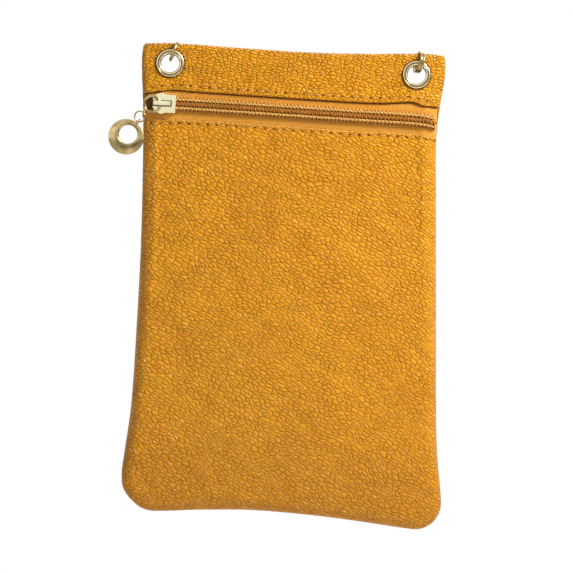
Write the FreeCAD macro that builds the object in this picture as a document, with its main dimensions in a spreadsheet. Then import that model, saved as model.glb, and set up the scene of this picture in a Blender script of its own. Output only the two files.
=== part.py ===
"""Phone pouch: a flat zip pouch with eyelets, a coil zip and a ring charm, as an assembly of separate pieces.

Millimetres. +Z is up, -Y is the front, and the origin is midway between the two eyelets in the seam plane.
A depth is a distance from the seam plane towards the front, and a drop is a distance below the eyelets.
"""
import math
import os

import FreeCAD
import Part
import Sketcher

Vector = FreeCAD.Vector

# Driving dimensions in millimetres, and angles in degrees
SIZES = {
    # Outline: half widths left and right of the centre line, each a step below the one before
    "top_rise": 7.4, "top_left": 57.6, "top_right": 57.6, "top_corner": 1.3,
    "neck_step": 19.0, "neck_left": 56.3, "neck_right": 55.7, "neck_crown": 3.4,
    "upper_step": 31.0, "upper_left": 55.4, "upper_right": 56.6, "upper_crown": 4.9,
    "mid_step": 38.0, "mid_left": 54.9, "mid_right": 58.4, "mid_crown": 7.0,
    "low_step": 50.0, "low_left": 56.3, "low_right": 60.9, "low_crown": 6.6,
    "base_step": 20.0, "base_left": 58.3, "base_right": 63.4, "base_crown": 4.6,
    "bottom_left_step": 12.2, "bottom_mid_step": 10.6, "bottom_right_step": 14.6, "bottom_corner": 11.0,
    "end_step": 18.0, "end_crown": 1.9, "pocket_below": 6.5, "pocket_crown": 3.4, "pocket_inset": 1.9,
    # Layers
    "leather": 1.2, "lining": 0.3, "lining_inset": 1.2, "lining_corner": 2.5, "layer_gap": 0.15,
    "seam_trim": 0.3,
    # Zip line, and how far the leather edges stand from it
    "zip_drop": 16.5, "zip_slope": 1.2, "band_reach": 5.2, "hem_reach": 5.8,
    "tape_back": 1.7, "tape_thick": 0.5, "tape_end_inset": 0.9, "tape_gap": 0.05, "tape_lining_gap": 0.11,
    "tape_upper_tuck": 2.7, "tape_lower_width": 10.5, "tape_edge": 0.55, "tape_hem_inset": 3.0,
    # Coil teeth
    "coil_pitch": 1.45, "coil_turns": 70, "coil_start": -48.2, "coil_root": 2.85, "coil_head": 0.75,
    "coil_thick": 2.0, "coil_bevel": 0.55, "tooth_width": 0.62, "loop_wall": 0.55, "cord_radius": 0.38,
    "coil_bar_thick": 0.4, "coil_bar_width": 1.4,
    # Slider
    "slider_at": -48.3, "slider_half_length": 4.4, "slider_rear": 3.5, "slider_shoulder": 4.05,
    "slider_nose": 1.7, "slider_plate": 0.9, "slider_clear": 0.2, "slider_wall": 0.45, "slider_post": 0.4,
    "slider_post_length": 2.4, "slider_round": 0.7, "slider_edge": 0.25,
    "bridge_left": 4.1, "bridge_right": 2.6, "bridge_foot": 0.9, "bridge_width": 1.8, "bridge_gap": 2.1,
    "bridge_thick": 0.9, "bridge_round": 0.35,
    # Pull ring, jump rings and charm
    "pull_reach": 4.55, "pull_sag": 0.607, "pull_lift": 1.2, "pull_radius": 3.0, "pull_wire": 0.5,
    "link_upper_hang": 45.895, "link_upper_slack": 0.629, "link_upper_radius": 2.15, "link_upper_wire": 0.4,
    "link_upper_lean": 15.7,
    "link_lower_hang": 36.754, "link_lower_slack": 0.492, "link_lower_radius": 2.0, "link_lower_wire": 0.3,
    "charm_hang": 16.466, "charm_slack": 0.133, "charm_radius": 6.75, "charm_thick": 2.6,
    "charm_flat": 2.2, "charm_shoulder": 4.9, "charm_shoulder_half": 0.95, "charm_rim_half": 0.3,
    "charm_face_round": 4.0, "charm_rim_round": 0.28,
    "charm_hole": 3.5, "charm_hole_x": 0.68, "charm_hole_z": 0.91, "charm_hole_round": 0.7,
    "bail_x": 4.2, "bail_z": 5.85, "bail_radius": 0.9, "bail_wire": 0.35,
    # Eyelets, their washers and the strap's end rings
    "eyelet_inset": 10.75, "eyelet_flange": 5.35, "eyelet_bore": 3.45, "eyelet_wall": 0.45,
    "eyelet_rise": 0.85, "eyelet_round": 0.55, "eyelet_lip": 4.65, "eyelet_lip_thick": 0.5,
    "eyelet_hole_gap": 0.1, "eyelet_groove": 0.3,
    "washer_radius": 5.3, "washer_thick": 0.45, "washer_round": 0.2,
    "strap_wire": 0.55, "strap_clear": 0.298, "strap_half_flat": 0.3, "strap_seat": 1.2,
    "strap_left_lean": 20.0, "strap_left_turn": 0.0,
    "strap_right_lean": 11.0, "strap_right_turn": 15.0, "strap_pair": 0.46,
    # Top stitching
    "stitch_pitch": 3.6, "stitch_length": 2.5, "stitch_count": 29, "stitch_thick": 0.3, "stitch_width": 0.55,
    "stitch_start": -52.6, "stitch_upper_margin": 1.8, "stitch_lower_margin": 1.5, "stitch_lower_depth": 3.7,
}

# Stations of the front panel's crown from the zip down, named as in the sizes
CROWN_STATIONS = ("neck", "upper", "mid", "low", "base")
AXES = {"x": "vector(1; 0; 0)", "y": "vector(0; 1; 0)", "z": "vector(0; 0; 1)"}
NODES = []


class Formula:
    """A number together with the expression that binds it to the sheet."""

    def __init__(self, value, text):
        self.value = value
        self.text = text

    def join(self, other, sign, value):
        return Formula(value, "(%s %s %s)" % (self.text, sign, as_formula(other).text))

    def __add__(self, other):
        return self.join(other, "+", self.value + as_formula(other).value)

    def __sub__(self, other):
        return self.join(other, "-", self.value - as_formula(other).value)

    def __mul__(self, other):
        return self.join(other, "*", self.value * as_formula(other).value)

    def __truediv__(self, other):
        return self.join(other, "/", self.value / as_formula(other).value)

    def __neg__(self):
        return self * -1


def as_formula(number):
    """A plain number or a formula, as a formula."""
    if isinstance(number, Formula):
        return number
    return Formula(float(number), "(%.9g)" % number)


def size(name):
    """The sheet's value of that name."""
    return Formula(float(SIZES[name]), "Sizes." + name)


def sine(angle):
    """Sine of a formula in degrees."""
    return Formula(math.sin(math.radians(angle.value)), "sin(%s * 1 deg)" % angle.text)


def cosine(angle):
    """Cosine of a formula in degrees."""
    return Formula(math.cos(math.radians(angle.value)), "cos(%s * 1 deg)" % angle.text)


def slope_drop(x):
    """How far the zip line falls from the centre to that X."""
    return x * sine(size("zip_slope")) / cosine(size("zip_slope"))


def new_sheet(doc):
    """Writes the driving dimensions to the sheet."""
    sheet = doc.addObject("Spreadsheet::Sheet", "Sizes")
    for row, (name, number) in enumerate(SIZES.items(), start=1):
        sheet.set("A%d" % row, name)
        sheet.set("B%d" % row, str(number))
        sheet.setAlias("B%d" % row, name)
    doc.recompute()


def new_body(doc, label):
    """An empty body for one piece."""
    body = doc.addObject("PartDesign::Body", label)
    body.Label = label
    return body


def origin_feature(body, role):
    """The body's own origin plane or axis of that role."""
    for feature in body.Origin.OriginFeatures:
        if feature.Role == role:
            return feature
    raise ValueError("no origin feature " + role)


def new_sketch(body, plane, name, offset=None):
    """A sketch on one of the body's origin planes, moved along the plane's normal by offset."""
    sketch = body.newObject("Sketcher::SketchObject", name)
    sketch.AttachmentSupport = [(origin_feature(body, plane), "")]
    sketch.MapMode = "FlatFace"
    if offset is not None:
        sketch.AttachmentOffset = FreeCAD.Placement(Vector(0, 0, offset.value), FreeCAD.Rotation())
        sketch.setExpression("AttachmentOffset.Base.z", offset.text)
    return sketch


def bind(sketch, constraint, formula):
    """Adds a dimension and ties it to the sheet."""
    index = sketch.addConstraint(constraint)
    sketch.setExpression("Constraints[%d]" % index, formula.text)


def pin_point(sketch, geometry, end, x, y):
    """Fixes one end of a sketch curve at x, y."""
    bind(sketch, Sketcher.Constraint("DistanceX", -1, 1, geometry, end, x.value), x)
    bind(sketch, Sketcher.Constraint("DistanceY", -1, 1, geometry, end, y.value), y)


def draw_polygon(sketch, corners):
    """A closed polygon through the corners, each fixed by its two coordinates."""
    corners = [(as_formula(x), as_formula(y)) for x, y in corners]
    first = sketch.GeometryCount
    count = len(corners)
    for i, (x, y) in enumerate(corners):
        next_x, next_y = corners[(i + 1) % count]
        line = Part.LineSegment(Vector(x.value, y.value, 0), Vector(next_x.value, next_y.value, 0))
        sketch.addGeometry(line, False)
    for i in range(count):
        sketch.addConstraint(Sketcher.Constraint("Coincident", first + i, 2, first + (i + 1) % count, 1))
    for i, (x, y) in enumerate(corners):
        pin_point(sketch, first + i, 1, x, y)


def draw_circle(sketch, x, y, radius):
    """A circle fixed by its centre and radius."""
    x = as_formula(x)
    y = as_formula(y)
    circle = Part.Circle(Vector(x.value, y.value, 0), Vector(0, 0, 1), radius.value)
    index = sketch.addGeometry(circle, False)
    pin_point(sketch, index, 3, x, y)
    bind(sketch, Sketcher.Constraint("Radius", index, radius.value), radius)


def draw_crown(sketch, left, right, seam, depth):
    """A crowned section: a flat seam line, a quarter round at each side and a flat front."""
    front = seam - depth
    left_in = left + depth
    right_in = right - depth
    radius = depth.value
    left_centre = Vector(left_in.value, seam.value, 0)
    right_centre = Vector(right_in.value, seam.value, 0)
    up = Vector(0, 0, 1)
    half = math.pi
    arc_left = Part.ArcOfCircle(Part.Circle(left_centre, up, radius), half, 1.5 * half)
    arc_right = Part.ArcOfCircle(Part.Circle(right_centre, up, radius), 1.5 * half, 2 * half)
    sketch.addGeometry(arc_left, False)
    sketch.addGeometry(Part.LineSegment(Vector(left_in.value, front.value, 0),
                                        Vector(right_in.value, front.value, 0)), False)
    sketch.addGeometry(arc_right, False)
    sketch.addGeometry(Part.LineSegment(Vector(right.value, seam.value, 0),
                                        Vector(left.value, seam.value, 0)), False)
    for i in range(4):
        sketch.addConstraint(Sketcher.Constraint("Coincident", i, 2, (i + 1) % 4, 1))
    pin_point(sketch, 1, 1, left_in, front)
    pin_point(sketch, 1, 2, right_in, front)
    pin_point(sketch, 3, 1, right, seam)
    pin_point(sketch, 3, 2, left, seam)
    bind(sketch, Sketcher.Constraint("DistanceX", -1, 1, 0, 3, left_in.value), left_in)
    bind(sketch, Sketcher.Constraint("DistanceX", -1, 1, 2, 3, right_in.value), right_in)


def new_feature(body, kind, name, sketch, **sizes):
    """A feature of the body made from a sketch, with its sizes tied to the sheet."""
    feature = body.newObject("PartDesign::" + kind, name)
    feature.Profile = sketch
    for prop, formula in sizes.items():
        setattr(feature, prop, formula.value)
        feature.setExpression(prop, formula.text)
    return feature


def pad(body, sketch, length, name="Pad"):
    """Pads a sketch along its normal."""
    return new_feature(body, "Pad", name, sketch, Length=as_formula(length))


def cut_through(body, sketch, name="Cut"):
    """Pockets a sketch through the whole piece, both ways."""
    pocket = new_feature(body, "Pocket", name, sketch)
    pocket.Type = "ThroughAll"
    pocket.Midplane = True
    return pocket


def fillet(doc, body, edges, radius, name="Fillet"):
    """Rounds the edges of the body's last feature that the test picks."""
    doc.recompute()
    base = body.Tip
    names = ["Edge%d" % (i + 1) for i, edge in enumerate(base.Shape.Edges) if edges(edge)]
    if not names:
        raise ValueError("no edge to round in " + body.Label)
    feature = body.newObject("PartDesign::Fillet", name)
    feature.Base = (base, names)
    feature.Radius = radius.value
    feature.setExpression("Radius", radius.text)
    return feature


def row_of(body, feature, pitch, count, name="Row"):
    """Repeats a feature along the body's X axis."""
    pattern = body.newObject("PartDesign::LinearPattern", name)
    pattern.Originals = [feature]
    pattern.Direction = (origin_feature(body, "X_Axis"), [""])
    pattern.Mode = "Spacing"
    pattern.Offset = pitch.value
    pattern.setExpression("Offset", pitch.text)
    pattern.Occurrences = int(count.value)
    pattern.setExpression("Occurrences", count.text)
    body.Tip = pattern
    return pattern


def place(piece, x=0, y=0, z=0, turns=()):
    """Puts a piece at x, y, z after its turns, each an axis and an angle, all tied to the sheet."""
    spot = "; ".join(as_formula(number).text for number in (x, y, z))
    turns = list(turns) or [("z", as_formula(0))]
    turned = " * ".join("rotation(%s; %s * 1 deg)" % (AXES[axis], angle.text) for axis, angle in turns)
    piece.setExpression("Placement", "placement(vector(%s); %s)" % (spot, turned))


def place_on_zip(piece, x=0, z=0):
    """Puts a piece at x along the sloping zip line and z above it."""
    slope = size("zip_slope")
    x = as_formula(x)
    z = as_formula(z)
    across = x * cosine(slope) + z * sine(slope)
    height = z * cosine(slope) - x * sine(slope) - size("zip_drop")
    place(piece, across, 0, height, [("y", slope)])


def keep(piece):
    """Marks a piece for writing to its own file."""
    NODES.append(piece)


def parallel_to_y(x, z):
    """A test for the straight edge along Y at x, z."""
    def test(edge):
        ends = [vertex.Point for vertex in edge.Vertexes]
        return all(abs(p.x - x.value) < 0.05 and abs(p.z - z.value) < 0.05 for p in ends) and len(ends) == 2
    return test


def any_of(*tests):
    """A test that passes where one of the tests does."""
    return lambda edge: any(test(edge) for test in tests)


def circle_at(radius, y):
    """A test for a circular edge of that radius at that Y."""
    def test(edge):
        curve = edge.Curve
        if curve.TypeId != "Part::GeomCircle":
            return False
        return abs(curve.Radius - radius.value) < 0.02 and abs(curve.Center.y - y.value) < 0.02
    return test


def bore_rim(x, z, radius):
    """A test for the curved edges round a hole along Y."""
    def test(edge):
        points = edge.discretize(7)
        at_wall = all(abs(math.hypot(p.x - x.value, p.z - z.value) - radius.value) < 0.01 for p in points)
        return at_wall and max(p.x for p in points) - min(p.x for p in points) > 0.1
    return test


def station_drop(name):
    """How far a station lies below the eyelets: its own step and those of the stations above it."""
    drop = as_formula(0)
    for station in CROWN_STATIONS[:CROWN_STATIONS.index(name) + 1]:
        drop = drop + size(station + "_step")
    return drop


def tape_upper_reach():
    """How far the upper tape reaches above the zip: to the band's edge and under it."""
    return size("band_reach") + size("tape_upper_tuck")


def side_points(side, inset, names):
    """The outline's points down one side, moved in by inset."""
    sign = -1 if side == "left" else 1
    points = []
    for name in names:
        across = (size("%s_%s" % (name, side)) - inset) * sign
        points.append((across, -station_drop(name)))
    return points


def bottom_points():
    """The outline's lower edge from right to left: two corners and a slight rise between them."""
    base = station_drop("base")
    left = (-size("base_left"), -base - size("bottom_left_step"))
    right = (size("base_right"), -base - size("bottom_right_step"))
    middle = ((left[0] + right[0]) / 2, -base - size("bottom_mid_step"))
    return [right, middle, left]


def outline_plate(doc, label, back_depth, thick, inset=0, lower=(), corner=None):
    """A flat plate of the pouch's outline, moved in by inset, with the lower edge's points if it has one."""
    body = new_body(doc, label)
    inset = as_formula(inset)
    top = size("top_rise") - inset
    upper = [(inset - size("top_left"), top), (size("top_right") - inset, top)]
    right = side_points("right", inset, CROWN_STATIONS)
    left = side_points("left", inset, CROWN_STATIONS)
    sketch = new_sketch(body, "XZ_Plane", label + "_outline", as_formula(back_depth))
    draw_polygon(sketch, upper + right + list(lower) + left[::-1])
    pad(body, sketch, thick, label + "_pad")
    ends = [lower[0], lower[-1]] if lower else [right[-1], left[-1]]
    fillet(doc, body, any_of(*[parallel_to_y(x, z) for x, z in ends]), corner, label + "_bottom_corners")
    top_edges = any_of(*[parallel_to_y(x, z) for x, z in upper])
    fillet(doc, body, top_edges, size("top_corner"), label + "_top_corners")
    return body


def leather_plate(doc, label, back_depth, thick):
    """A plate of the whole outline."""
    return outline_plate(doc, label, back_depth, thick, lower=bottom_points(), corner=size("bottom_corner"))


def eyelet_across():
    """How far each eyelet stands from the centre line."""
    return size("top_right") - size("eyelet_inset")


def punch_eyelet_holes(body, label):
    """Cuts the two holes that the eyelets go through."""
    sketch = new_sketch(body, "XZ_Plane", label + "_holes")
    radius = size("eyelet_bore") + size("eyelet_wall") + size("eyelet_hole_gap")
    for sign in (-1, 1):
        draw_circle(sketch, eyelet_across() * sign, 0, radius)
    cut_through(body, sketch, label + "_punch")


def crown_loft(body, kind, name, rows):
    """A loft through crowned sections, each row (z, left, right, seam, depth)."""
    sketches = []
    for i, (z, left, right, seam, depth) in enumerate(rows):
        sketch = new_sketch(body, "XY_Plane", "%s_%d" % (name, i), z)
        draw_crown(sketch, left, right, seam, depth)
        sketches.append(sketch)
    loft = new_feature(body, kind, name, sketches[0])
    loft.Sections = sketches[1:]
    loft.Ruled = True


def crown_rows(wall, seam, stations):
    """Sections of the crown, moved in by wall from the leather's outside."""
    rows = []
    for name in stations:
        left = wall - size(name + "_left") - size("seam_trim")
        right = size(name + "_right") + size("seam_trim") - wall
        rows.append((-station_drop(name), left, right, seam, size(name + "_crown") - wall))
    return rows


def back_panel(doc):
    """The flat leather back."""
    body = leather_plate(doc, "back_panel", -size("leather"), size("leather"))
    punch_eyelet_holes(body, "back_panel")
    keep(body)


def lining_back(doc):
    """The woven lining of the back."""
    corner = size("lining_corner")
    body = outline_plate(doc, "lining_back", 0, size("lining"), size("lining_inset"), corner=corner)
    punch_eyelet_holes(body, "lining_back")
    keep(body)


def hem_edge(x, reach):
    """Height at x of a line that runs along the zip, reach above it."""
    return reach - size("zip_drop") - slope_drop(x)


def trim_above(body, name, reach):
    """Cuts away all that stands above a line along the zip."""
    sketch = new_sketch(body, "XZ_Plane", name)
    left = -size("top_left") * 1.2
    right = size("top_right") * 1.2
    top = size("top_rise") * 2
    draw_polygon(sketch, [(left, hem_edge(left, reach)), (right, hem_edge(right, reach)),
                          (right, top), (left, top)])
    cut_through(body, sketch, name + "_cut")


def trimmed_to_outline(doc, label, rough):
    """The piece inside the pouch's outline."""
    reach = size("mid_crown") * 3
    cutter = leather_plate(doc, label + "_outline_tool", -reach, reach * 2)
    trimmed = doc.addObject("Part::Common", label)
    trimmed.Label = label
    trimmed.Base = rough
    trimmed.Tool = cutter
    keep(trimmed)


def front_panel(doc):
    """The crowned leather front below the zip, hollow behind."""
    body = new_body(doc, "front_panel_rough")
    seam = as_formula(0)
    end = (-station_drop("base") - size("end_step"), -size("base_left") - size("seam_trim"),
           size("base_right") + size("seam_trim"), seam, size("end_crown"))
    crown_loft(body, "AdditiveLoft", "front_outside", crown_rows(as_formula(0), seam, CROWN_STATIONS) + [end])
    inside = crown_rows(size("leather"), seam, CROWN_STATIONS) + [pocket_row(size("leather"), seam)]
    crown_loft(body, "SubtractiveLoft", "front_inside", inside)
    trim_above(body, "front_hem", -size("hem_reach"))
    trimmed_to_outline(doc, "front_panel", body)


def pocket_row(wall, seam):
    """The lowest section of the hollow, drawn in to clear the rounded corners."""
    inset = size("pocket_inset") + wall
    z = wall - size("leather") - station_drop("base") - size("pocket_below")
    return (z, inset - size("base_left"), size("base_right") - inset, seam, size("pocket_crown") - wall)


def lining_front(doc):
    """The woven lining of the front: a thin shell just behind the leather."""
    body = new_body(doc, "lining_front")
    seam = -size("lining")
    outer = size("leather") + size("layer_gap")
    inner = outer + size("lining")
    below_neck = CROWN_STATIONS[1:]
    for kind, name, wall in (("Additive", "lining_outside", outer), ("Subtractive", "lining_inside", inner)):
        inset = wall + size("lining")
        rows = crown_rows(inset, seam, below_neck)
        rows = lining_mouth(wall, seam) + rows + [pocket_row(inset, seam)]
        crown_loft(body, kind + "Loft", name, rows)
    keep(body)


def lining_mouth(wall, seam):
    """The lining's two top sections, level behind the lower tape."""
    depth = size("tape_back") + size("leather") - size("lining") - wall
    left = wall - size("neck_left") + size("tape_hem_inset")
    right = size("neck_right") - wall - size("tape_hem_inset")
    top = -size("zip_drop") - size("hem_reach") - size("tape_hem_inset") / 2
    bend = -size("zip_drop") - size("tape_lower_width") - size("tape_hem_inset") * 0.7
    return [(top, left, right, seam, depth), (bend, left, right, seam, depth)]


def band_depths():
    """How deep the band's inside lies, where it is flat and where it is lifted over the tape."""
    return size("lining") * 2, size("tape_back") + size("tape_thick") + size("tape_gap")


def top_band(doc):
    """The leather band above the zip: flat at the eyelets, lifted over the tape along the zip."""
    body = new_body(doc, "top_band_rough")
    flat, lifted = band_depths()
    ramp = size("tape_upper_tuck") * (lifted - flat) / tape_bend_depth()
    sketches = []
    for side, x in (("left", -size("top_left") * 1.1), ("right", size("top_right") * 1.1)):
        sketch = new_sketch(body, "YZ_Plane", "band_" + side, x)
        edge = hem_edge(x, size("band_reach"))
        bend = hem_edge(x, size("band_reach") + ramp)
        top = size("top_rise") * 1.5
        thick = size("leather")
        draw_polygon(sketch, [(-flat, top), (-flat, bend), (-lifted, edge), (-lifted - thick, edge),
                              (-flat - thick, bend), (-flat - thick, top)])
        sketches.append(sketch)
    loft = new_feature(body, "AdditiveLoft", "band_loft", sketches[0])
    loft.Sections = sketches[1:]
    loft.Ruled = True
    punch_eyelet_holes(body, "top_band")
    trimmed_to_outline(doc, "top_band", body)


def lining_band(doc):
    """The strip of lining behind the band."""
    body = new_body(doc, "lining_band")
    sketch = new_sketch(body, "XZ_Plane", "lining_band_outline", size("lining"))
    inset = size("lining_inset")
    low = -(size("zip_drop") - tape_upper_reach() + size("tape_edge") * 1.5)
    left = -size("neck_left") + inset
    right = size("neck_right") - inset
    top = size("top_rise") - inset
    draw_polygon(sketch, [(left, top), (right, top), (right, low), (left, low)])
    pad(body, sketch, size("lining"), "lining_band_pad")
    punch_eyelet_holes(body, "lining_band")
    keep(body)


def tape_ends():
    """Left and right ends of the tapes along the zip."""
    inset = size("tape_end_inset")
    return inset - size("neck_left"), size("neck_right") - inset


def tape_bend_depth():
    """How far the upper tape's edge is bent back, up to just before the lining."""
    return size("tape_back") - size("lining") * 2 - size("tape_lining_gap")


def zipper_tape_upper(doc):
    """The upper tape: flat beside the coil and bent back behind the band."""
    body = new_body(doc, "zipper_tape_upper")
    left, right = tape_ends()
    sketch = new_sketch(body, "YZ_Plane", "tape_upper_section", left)
    back = -size("tape_back")
    front = back - size("tape_thick")
    bend = size("band_reach")
    top = tape_upper_reach()
    rise = tape_bend_depth()
    draw_polygon(sketch, [(front, size("tape_edge")), (front, bend), (front + rise, top), (back + rise, top),
                          (back, bend), (back, size("tape_edge"))])
    pad(body, sketch, right - left, "tape_upper_pad")
    place_on_zip(body)
    keep(body)


def zipper_tape_lower(doc):
    """The lower tape: full width beside the coil and narrower behind the hem."""
    body = new_body(doc, "zipper_tape_lower")
    sketch = new_sketch(body, "XZ_Plane", "tape_lower_outline", size("tape_back"))
    left, right = tape_ends()
    inset = size("tape_hem_inset")
    edge = -size("tape_edge")
    step = size("tape_gap") - size("hem_reach")
    low = -size("tape_lower_width")
    draw_polygon(sketch, [(left, edge), (right, edge), (right, step), (right - inset, step),
                          (right - inset, low), (left + inset, low), (left + inset, step), (left, step)])
    pad(body, sketch, size("tape_thick"), "tape_lower_pad")
    place_on_zip(body)
    keep(body)


def zipper_coil(doc, side, sign):
    """One row of the zip: hairpin loops on a sewn edge, meshing half a pitch from the other row."""
    body = new_body(doc, "zipper_coil_" + side)
    pitch = size("coil_pitch")
    start = size("coil_start") + (pitch / 2 if sign < 0 else as_formula(0))
    near = -size("tape_back") - size("tape_thick")
    far = near - size("coil_thick")
    bevel = size("coil_bevel")
    root = size("coil_root") * sign
    head = -size("coil_head") * sign
    step = bevel * sign
    bar = new_sketch(body, "YZ_Plane", "coil_bar_" + side, start)
    bar_top = root - step
    bar_low = bar_top - size("coil_bar_width") * sign
    bar_front = near - size("coil_bar_thick")
    draw_polygon(bar, [(near, bar_low), (near, bar_top), (bar_front, bar_top), (bar_front, bar_low)])
    pad(body, bar, pitch * (size("coil_turns") - 1) + size("tooth_width"), "coil_bar_pad_" + side)
    loop = new_sketch(body, "YZ_Plane", "coil_loop_" + side, start)
    draw_polygon(loop, [(near, head + step), (near, root - step), (near - bevel, root), (far + bevel, root),
                        (far, root - step), (far, head + step), (far + bevel, head), (near - bevel, head)])
    wall = size("loop_wall")
    inner_root = root - wall * sign
    inner_head = head + wall * sign * 2
    draw_polygon(loop, [(near - wall, inner_head), (near - wall, inner_root), (far + wall, inner_root),
                        (far + wall, inner_head)])
    tooth = pad(body, loop, size("tooth_width"), "coil_loop_pad_" + side)
    row_of(body, tooth, pitch, size("coil_turns"), "coil_row_" + side)
    place_on_zip(body)
    keep(body)


def coil_cord(doc, side, sign):
    """The filler cord inside one coil."""
    cord = doc.addObject("Part::Cylinder", "coil_cord_" + side)
    cord.Label = "coil_cord_" + side
    length = size("coil_pitch") * (size("coil_turns") - 1) + size("tooth_width")
    cord.setExpression("Radius", size("cord_radius").text)
    cord.setExpression("Height", length.text)
    slope = size("zip_slope")
    x = size("coil_start") + (size("coil_pitch") / 2 if sign < 0 else as_formula(0))
    z = (size("coil_root") - size("loop_wall") - size("cord_radius") - size("tape_gap")) * sign
    depth = size("tape_back") + size("tape_thick") + size("coil_thick") / 2
    across = x * cosine(slope) + z * sine(slope)
    height = z * cosine(slope) - x * sine(slope) - size("zip_drop")
    place(cord, across, -depth, height, [("y", slope + 90)])
    keep(cord)


def slider_outline():
    """Front outline of the slider's plates, nose to the left."""
    length = size("slider_half_length")
    rear = size("slider_rear")
    shoulder = size("slider_shoulder")
    nose = size("slider_nose")
    upper = [(length, rear), (length / 8, rear), (-length / 4, shoulder), (-length * 0.7, shoulder * 0.82),
             (-length, nose)]
    lower = [(x, -z) for x, z in reversed(upper)]
    return upper + lower


def slider_body(doc):
    """The zip slider: two plates, a post between them at the nose and a wall along each side."""
    body = new_body(doc, "slider_body")
    plate = size("slider_plate")
    tape_front = size("tape_back") + size("tape_thick")
    front = tape_front + size("coil_thick") + size("slider_clear")
    back = size("tape_back") - size("slider_clear") - plate
    corners = slider_outline()
    for name, depth in (("front", front), ("back", back)):
        sketch = new_sketch(body, "XZ_Plane", "slider_%s_plate" % name, depth)
        draw_polygon(sketch, corners)
        pad(body, sketch, plate, "slider_%s_pad" % name)
        if name == "front":
            slider_walls_and_post(body, corners, tape_front, front, back + plate)
    nose = any_of(*[parallel_to_y(x, z) for x, z in corners[3:7]])
    fillet(doc, body, nose, size("slider_round"), "slider_corners")
    fillet(doc, body, rim_test(-(front + plate)), size("slider_edge"), "slider_rim")
    place_on_zip(body, size("slider_at"))
    keep(body)


def rim_test(face):
    """A test for the edges that lie in the plane at that Y."""
    def test(edge):
        return all(abs(vertex.Point.y - face.value) < 0.01 for vertex in edge.Vertexes)
    return test


def slider_walls_and_post(body, corners, tape_front, front, back):
    """The side walls that guide the coil, and the post that parts it."""
    wall = size("slider_wall")
    wall_start = tape_front + size("slider_clear")
    inside = [(x, z - wall) for x, z in corners[:3]]
    for name, sign in (("upper", 1), ("lower", -1)):
        sketch = new_sketch(body, "XZ_Plane", "slider_wall_" + name, wall_start)
        strip = corners[:3] + inside[::-1]
        draw_polygon(sketch, [(x, z * sign) for x, z in strip])
        pad(body, sketch, front - wall_start, "slider_wall_pad_" + name)
    post = new_sketch(body, "XZ_Plane", "slider_post", back)
    half = size("slider_post")
    nose = -size("slider_half_length") * 0.85
    tail = nose + size("slider_post_length")
    draw_polygon(post, [(nose, -half), (nose, half), (tail - half, half), (tail, half / 4), (tail, -half / 4),
                        (tail - half, -half)])
    pad(body, post, front - back, "slider_post_pad")


def slider_bridge(doc):
    """The bar over the slider's front that the pull ring hangs on."""
    body = new_body(doc, "slider_bridge")
    half = size("bridge_width") / 2
    sketch = new_sketch(body, "XY_Plane", "bridge_side", -half)
    foot = slider_front()
    top = foot + size("bridge_gap") + size("bridge_thick")
    under = foot + size("bridge_gap")
    left = -size("bridge_left")
    right = size("bridge_right")
    leg = size("bridge_foot")
    draw_polygon(sketch, [(left, -foot), (left + leg, -foot), (left + leg, -under), (right - leg, -under),
                          (right - leg, -foot), (right, -foot), (right, -top), (left, -top)])
    pad(body, sketch, size("bridge_width"), "bridge_pad")
    fillet(doc, body, rim_test(-top), size("bridge_round"), "bridge_edges")
    place_on_zip(body, size("slider_at"))
    keep(body)


def slider_front():
    """Depth of the slider's front face."""
    inside = size("tape_back") + size("tape_thick") + size("coil_thick") + size("slider_clear")
    return inside + size("slider_plate")


def new_ring(doc, label, radius, wire):
    """A closed ring of round wire."""
    ring = doc.addObject("Part::Torus", label)
    ring.Label = label
    ring.setExpression("Radius1", radius.text)
    ring.setExpression("Radius2", wire.text)
    keep(ring)
    return ring


def pull_depth():
    """Depth of the pull ring's middle, under the bridge."""
    return slider_front() + size("pull_lift")


def pull_place():
    """Across and height of the pull ring's middle, behind the slider and a little below the zip."""
    across = size("slider_at") - size("pull_reach")
    return across, -size("zip_drop") - slope_drop(across) - size("pull_sag")


def hung_place(carrier, upper, lower, hanger):
    """Where a ring hangs in the one that carries it: down to the wires' touch less a slack, and leaning."""
    across, height = carrier
    reach = size(upper + "_radius") - size(upper + "_wire") + size(lower + "_radius") - size(lower + "_wire")
    reach = reach - size(hanger + "_slack")
    lean = size(hanger + "_hang")
    return across - sine(lean) * reach, height - cosine(lean) * reach


def link_places():
    """Across and height of the two jump rings' middles."""
    upper = hung_place(pull_place(), "pull", "link_upper", "link_upper")
    return upper, hung_place(upper, "link_upper", "link_lower", "link_lower")


def pull_and_links(doc):
    """The pull ring and the two jump rings that carry the charm."""
    quarter = as_formula(90)
    pull = new_ring(doc, "pull_ring", size("pull_radius"), size("pull_wire"))
    depth = -pull_depth()
    across, height = pull_place()
    place(pull, across, depth, height, [("x", quarter)])
    (upper_across, upper_height), (lower_across, lower_height) = link_places()
    upper = new_ring(doc, "link_ring_upper", size("link_upper_radius"), size("link_upper_wire"))
    lean = quarter + size("link_upper_lean")
    place(upper, upper_across, depth, upper_height, [("y", lean)])
    lower = new_ring(doc, "link_ring_lower", size("link_lower_radius"), size("link_lower_wire"))
    place(lower, lower_across, depth, lower_height, [("x", quarter)])


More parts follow.
